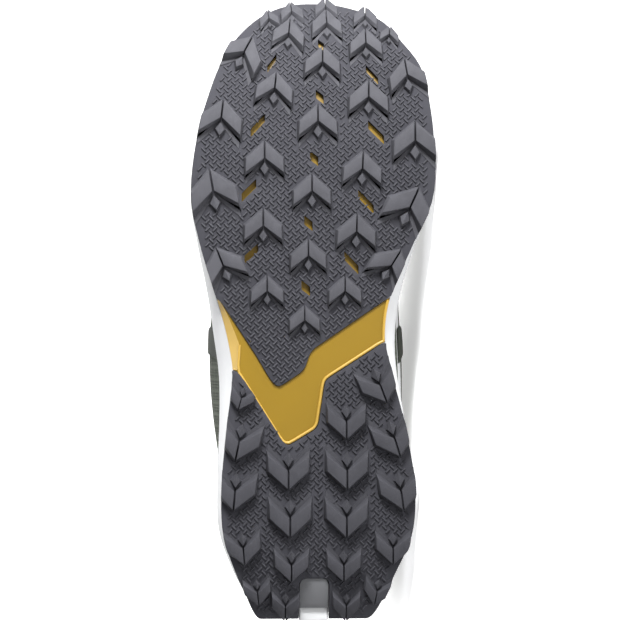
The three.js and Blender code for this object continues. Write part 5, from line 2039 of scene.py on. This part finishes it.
@dataclass
class Stitching:
    """The rows of thread that hold the overlays and the loop, and close the collar's padding."""

    upper: Upper
    length: float = 2.4
    width: float = 0.8
    height: float = 0.55
    pitch: float = 3.6
    inset: float = 2.2

    def seam(self, places: Iterable[tuple[float, Side, float]], lift: float) -> list[Seam]:
        """Return the places of a seam from section numbers, sides and shares."""
        found = []
        for number, side, share in places:
            grow = lift + self.upper.crease(number, share)
            found.append(Seam(FORM.place(number, side, share, grow), FORM.normal(number, side, share)))
        return found

    def edge_seam(self, numbers: Sequence[float], side: Side, top_of: Callable[[float], float]) -> list[Seam]:
        """Return a seam that follows an overlay's upper edge from below.

        Args:
            numbers: The section numbers of its places.
            side: The side.
            top_of: Gives the share of the overlay's edge at a section number.

        Returns:
            The seam's places.
        """
        places = []
        for number in numbers:
            top = top_of(number)
            reach = (FORM.on_skin(number, side, min(top, 0.97)) - FORM.on_skin(number, side, 0.0)).length
            share = top - self.inset / max(reach, 1.0) * top
            if 0.16 < share and top < 0.99:
                places.append((number, side, share))
        return self.seam(places, FILM_GAP + OVERLAY)

    def seams(self) -> list[list[Seam]]:
        """Return every seam of the upper."""
        rows = []
        upper = self.upper
        start = THROAT_START - 0.35
        for side in Side:
            end = upper.collar_number(side, 0.9) - 0.12
            numbers = even_steps(start, end, 90)
            for inset in (self.inset, 2 * self.inset):
                rows.append(self.seam(
                    ((number, side,
                      FORM.share_beside_ridge(number, side, upper.eyestay_reach(number) - inset))
                     for number in numbers), FILM_GAP + OVERLAY))
            rows.append(self.seam(
                ((number, side, FORM.share_beside_ridge(number, side, FORM.throat_half_width(number) + 2.6))
                 for number in numbers[14:]), FILM_GAP + OVERLAY))
            cap = even_steps(0.4, 6.1, 90)
            rows.append(self.edge_seam(
                cap, side, lambda number: upper.crossing(number, side, upper.under_cap)))
            heel = even_steps(10.1, 16.4, 90)
            rows.append(self.edge_seam(
                heel, side, lambda number: upper.crossing(number, side, upper.under_counter)))
            collar = []
            for n in range(61):
                column = 0.02 + 0.82 * n / 60
                number = upper.collar_number(side, column) - 0.75
                collar.append((number, side, column * FORM.throat_share(number, side)))
            rows.append(self.seam(collar, 0.05))
        rows.append(self.loop_box())
        return rows

    def loop_box(self) -> list[Seam]:
        """Return the box of stitches that holds the pull loop's lower end."""
        corners = ((17.25, -5.6), (18.3, -5.6), (18.3, 5.6), (17.25, 5.6), (17.25, -5.6))
        box = []
        for (number, y), (next_number, next_y) in zip(corners, corners[1:]):
            for n in range(12):
                at = lerp(number, next_number, n / 12)
                normal = FORM.normal(at, Side.LATERAL, 0.0)
                normal = Vector((normal.x, 0, normal.z)).normalized()
                point = FORM.on_skin(at, Side.LATERAL, 0.0) + normal * (0.95 + LOOP_THICKNESS / 2)
                box.append(Seam(Vector((point.x, lerp(y, next_y, n / 12), point.z)), normal))
        return box

    def build(self, thread: Material) -> None:
        """Copy one stitch along every seam.

        Args:
            thread: The thread.
        """
        half, wide, high = self.length / 2, self.width / 2, self.height / 2
        corners = ((-1, -1), (1, -1), (1, 1), (-1, 1))
        low = [Vector((a * half, b * wide, -high)) for a, b in corners]
        top = [Vector((a * half * 0.8, b * wide * 0.5, high)) for a, b in corners]
        stitch = block("stitch", low, top)
        points: list[Vector] = []
        faces: list[list[int]] = []
        for row in self.seams():
            run = self.pitch
            for before, after in zip(row, row[1:]):
                ahead = after.point - before.point
                run += ahead.length
                if run < self.pitch or ahead.length > 12 or ahead.length < 1e-4:
                    continue
                run = 0.0
                first = ahead.normalized()
                up = (after.normal - first * after.normal.dot(first)).normalized()
                turn = Matrix((first, up.cross(first), up)).transposed()
                start = len(points)
                points += [turn @ vertex.co + after.point for vertex in stitch.data.vertices]
                faces += [[start + n for n in polygon.vertices] for polygon in stitch.data.polygons]
        bpy.data.objects.remove(stitch, do_unlink=True)
        finish_piece(mesh_object("upper_stitching", points, faces), [thread], (), 40)


@dataclass
class Lacing:
    """The eyelets and the lace that crosses between them."""

    seat: float = CLEARANCE + OVERLAY + CLEARANCE + 0.35
    sag: float = 0.22

    def number(self, pair: int) -> float:
        """Return the section number of a pair of eyelets."""
        return lerp(*PAIR_SECTIONS, (pair / (PAIRS - 1)) ** 1.15)

    def eyelet(self, name: str, pair: int, side: Side) -> Object:
        """Model an eyelet by spinning its stamped profile round its axis.

        Args:
            name: The object's name.
            pair: The number of its pair, from the toe.
            side: The side.

        Returns:
            The eyelet in its place.
        """
        deselect_all()
        bpy.ops.mesh.primitive_plane_add(size=2)
        ring = bpy.context.active_object
        ring.name = name
        places = {(-1, -1): (EYELET_HOLE, -0.6), (1, -1): (EYELET_RADIUS, 0.0),
                  (1, 1): (EYELET_RADIUS - 0.7, EYELET_HEIGHT), (-1, 1): (EYELET_HOLE + 0.3, EYELET_HEIGHT)}
        for vertex in ring.data.vertices:
            x, z = places[(round(vertex.co.x), round(vertex.co.y))]
            vertex.co = (x, 0, z)
        with editing(ring):
            bpy.ops.mesh.bevel(offset=0.3, segments=3, affect="VERTICES")
            bpy.ops.mesh.select_all(action="SELECT")
            bpy.ops.mesh.spin(steps=28, angle=2 * math.pi, center=(0, 0, 0), axis=(0, 0, 1),
                              use_auto_merge=True)
        ring_mesh = bmesh.new()
        ring_mesh.from_mesh(ring.data)
        bmesh.ops.remove_doubles(ring_mesh, verts=ring_mesh.verts, dist=0.001)
        inner = [face for face in ring_mesh.faces if len(face.verts) > 4]
        bmesh.ops.delete(ring_mesh, geom=inner, context="FACES_ONLY")
        bmesh.ops.recalc_face_normals(ring_mesh, faces=ring_mesh.faces)
        ring_mesh.to_mesh(ring.data)
        ring_mesh.free()
        number = self.number(pair)
        share = FORM.share_beside_ridge(number, side, FORM.throat_half_width(number) + EYELET_FROM_EDGE)
        normal = FORM.normal(number, side, share)
        place = FORM.on_skin(number, side, share) + normal * (self.seat - 0.3)
        turn = Vector((0, 0, 1)).rotation_difference(normal).to_matrix().to_4x4()
        ring.data.transform(Matrix.Translation(place) @ turn)
        return ring

    def strand(self, name: str, start: tuple[int, Side], end: tuple[int, Side]) -> Object:
        """Make a strand from one eyelet over the tongue to another.

        Args:
            name: The object's name.
            start: The pair and side that it starts from.
            end: The pair and side that it ends at.

        Returns:
            The strand.
        """
        height = self.seat + EYELET_HEIGHT + 2 * CLEARANCE + LACE_RADIUS
        points = []
        shares = (0, 0.06, 0.2, 0.35, 0.5, 0.65, 0.8, 0.94, 1)
        for u in shares:
            number = lerp(self.number(start[0]), self.number(end[0]), u)
            side = start[1] if u < 0.5 else end[1]
            half = FORM.throat_half_width(number)
            reach = max((half + EYELET_FROM_EDGE) * abs(1 - 2 * u), 0.5)
            share = FORM.share_beside_ridge(number, side, reach)
            sag = self.sag * half * (1 - (2 * u - 1) ** 2) ** 2
            lift = height - sag if 0 < u < 1 else -0.6
            points.append(FORM.place(number, side, share, lift))
        return tube_object(name, smooth_path(points, 48), LACE_RADIUS)

    def build(self, cord: Material, metal: Material) -> None:
        """Build and dress the lacing.

        Args:
            cord: The lace's cord.
            metal: The eyelets' metal.
        """
        for side in Side:
            for pair in range(PAIRS):
                node = f"eyelet_{side.name.lower()}_{pair + 1}"
                finish_piece(self.eyelet(f"{node}_ring", pair, side), [metal], [node], 40)
        strands = [self.strand("lace_bar", (0, Side.LATERAL), (0, Side.MEDIAL))]
        for pair in range(PAIRS - 1):
            for side, other in ((Side.LATERAL, Side.MEDIAL), (Side.MEDIAL, Side.LATERAL)):
                strands.append(self.strand("lace_strand", (pair, side), (pair + 1, other)))
        finish_piece(join("lace_crossings", strands), [cord], ["lace"], 60)


@dataclass
class PullLoop:
    """The webbing loop over the collar's back edge."""

    rise: float = 14.0
    span: float = 11.8
    behind: float = 3.0

    def path(self) -> list[Point2]:
        """Return the loop's route in side view, from the back leg's end over the top to the front leg's."""
        low = FORM.section(19.0)["low"]
        edge = footbed(0.95) + UPPER_HEIGHT
        radius = self.span / 2 - LOOP_THICKNESS / 2
        centre = low.x - self.behind + self.span / 2
        spring = edge + self.rise - self.span / 2
        back = [FORM.place(number, Side.LATERAL, 0.0, 0.9) for number in (17.1, 17.7, 18.3, 18.9, 19.4)]
        front = [FORM.place(number, Side.LATERAL, 0.0, -FORM.wall(number, 0.0) - 1.2)
                 for number in (19.2, 18.8, 18.4)]
        arc = [(centre - radius * math.cos(math.pi * n / 8), spring + radius * math.sin(math.pi * n / 8))
               for n in range(9)]
        return [*((p.x, p.z) for p in back), *arc, *((p.x, p.z) for p in front)]

    def build(self, webbing: Material) -> None:
        """Build and dress the loop.

        Args:
            webbing: The loop's webbing.
        """
        path = smooth_path([Vector((x, 0, z)) for x, z in self.path()], 64)
        edge = LOOP_WIDTH / 2
        places = (-edge, 0.6 - edge, -4, 0, 4, edge - 0.6, edge)
        grid = [[Vector((p.x, y, p.z)) for y in places] for p in path]
        loop = grid_object("pull_loop_webbing", [grid])
        apply_modifier(loop, "SOLIDIFY", thickness=LOOP_THICKNESS, offset=0.0)
        bevel(loop, 0.4, 2, 50)
        finish_piece(loop, [webbing], ["pull_loop"], 40)


@dataclass
class Studio:
    """The pale sweep, the soft lights and the camera at the photograph's angle."""

    distance: float = 1300.0
    lean_deg: float = 3.0
    millimetres_per_pixel: float = 0.4927
    image_width: int = 628
    target: Vector = Vector((-0.7, -1.5, 0.0))

    def sweep(self) -> None:
        """Lay the floor and curve it up behind the boot."""
        profile = [(-12.0, 0.0), (1.2, 0.0)]
        profile += [(1.2 + 0.8 * math.sin(a), 0.8 - 0.8 * math.cos(a)) for a in
                    (math.radians(15 * n) for n in range(1, 7))]
        profile += [(2.0, 8.0)]
        grid = [[Vector((x, y, z)) for x in (-12.0, 0.0, 12.0)] for y, z in profile]
        sweep = grid_object("studio_sweep", [grid])
        if sum(polygon.normal.z for polygon in sweep.data.polygons) < 0:
            sweep.data.flip_normals()
        sweep.data.materials.append(SWEEP_FINISH.build())
        activate(sweep)
        bpy.ops.object.shade_smooth()

    def light(self, name: str, place: Vector, size: float, power: float, target: Vector) -> None:
        """Hang a square softbox at a place and aim it, both in millimetres on the standing boot.

        Args:
            name: The light's name.
            place: Its place.
            size: The length of its side in metres.
            power: Its power in watts.
            target: The place that it is aimed at.
        """
        data = bpy.data.lights.new(name, "AREA")
        data.size = size
        data.energy = power
        lamp = bpy.data.objects.new(name, data)
        bpy.context.scene.collection.objects.link(lamp)
        lamp.location = TO_ROW @ place
        aim = TO_ROW @ target - lamp.location
        lamp.rotation_euler = aim.to_track_quat("-Z", "Y").to_euler()

    def camera(self) -> None:
        """Stand the camera below the sole, rolled so that the toe points up in the picture."""
        data = bpy.data.cameras.new("camera")
        camera = bpy.data.objects.new("camera", data)
        bpy.context.scene.collection.objects.link(camera)
        lean = math.radians(self.lean_deg)
        place = self.target + Vector((0, -math.sin(lean), -math.cos(lean))) * self.distance
        turn = TO_ROW.to_3x3().normalized()
        ahead = turn @ (self.target - place).normalized()
        up = turn @ Vector((1, 0, 0))
        right = ahead.cross(up).normalized()
        axes = Matrix((right, right.cross(ahead), -ahead)).transposed().to_4x4()
        camera.matrix_world = Matrix.Translation(TO_ROW @ place) @ axes
        width = self.image_width * self.millimetres_per_pixel
        data.sensor_fit = "HORIZONTAL"
        data.angle = 2 * math.atan(width / 2 / self.distance)
        bpy.context.scene.camera = camera

    def build(self) -> None:
        """Set up the studio."""
        self.sweep()
        self.light("key", Vector((830, -150, -560)), 0.3, 27, Vector((60, 0, 20)))
        self.light("rim", Vector((200, -1200, 500)), 1.2, 3, Vector((0, 0, 60)))
        self.light("backdrop", Vector((0, -2300, 900)), 1.6, 30, Vector((0, 0, 3000)))
        world = bpy.data.worlds.new("studio")
        world.use_nodes = True
        world.node_tree.nodes["Background"].inputs["Color"].default_value = linear("#ffffff")
        world.node_tree.nodes["Background"].inputs["Strength"].default_value = 0.27
        bpy.context.scene.world = world
        bpy.context.scene.view_settings.view_transform = "Standard"
        self.camera()


def main() -> None:
    """Build the boot piece by piece and dress it."""
    logging.basicConfig(level=logging.INFO, format="%(message)s")
    deselect_all()
    rubber, plastic, foam = RUBBER_FINISH.build(), PLATE_FINISH.build(), FOAM_FINISH.build()
    fabric, film, lining = FABRIC_FINISH.build(), FILM_FINISH.build(), LINING_FINISH.build()
    Studio().build()
    tread = Tread()
    # The heel's rubber and the bed rubber are darker as painted shade.
    tread.build(rubber, SHADED_HEEL_RUBBER_FINISH.build(), SHADED_BED_FINISH.build())
    # The flank's and the lip's plastics are paler as painted light.
    ShankPlate().build(tread, plastic, LIT_FLANK_FINISH.build(), HIGHLIGHT_LIP_FINISH.build())
    # The notch's foam is grey as painted shade.
    Midsole().build(tread, foam, SHADED_NOTCH_FOAM_FINISH.build())
    upper = Upper()
    upper.build(fabric, film, lining)
    Stitching(upper).build(THREAD_FINISH.build())
    Lacing().build(LACE_FINISH.build(), EYELET_FINISH.build())
    PullLoop().build(WEBBING_FINISH.build())


if __name__ == "__main__":
    main()
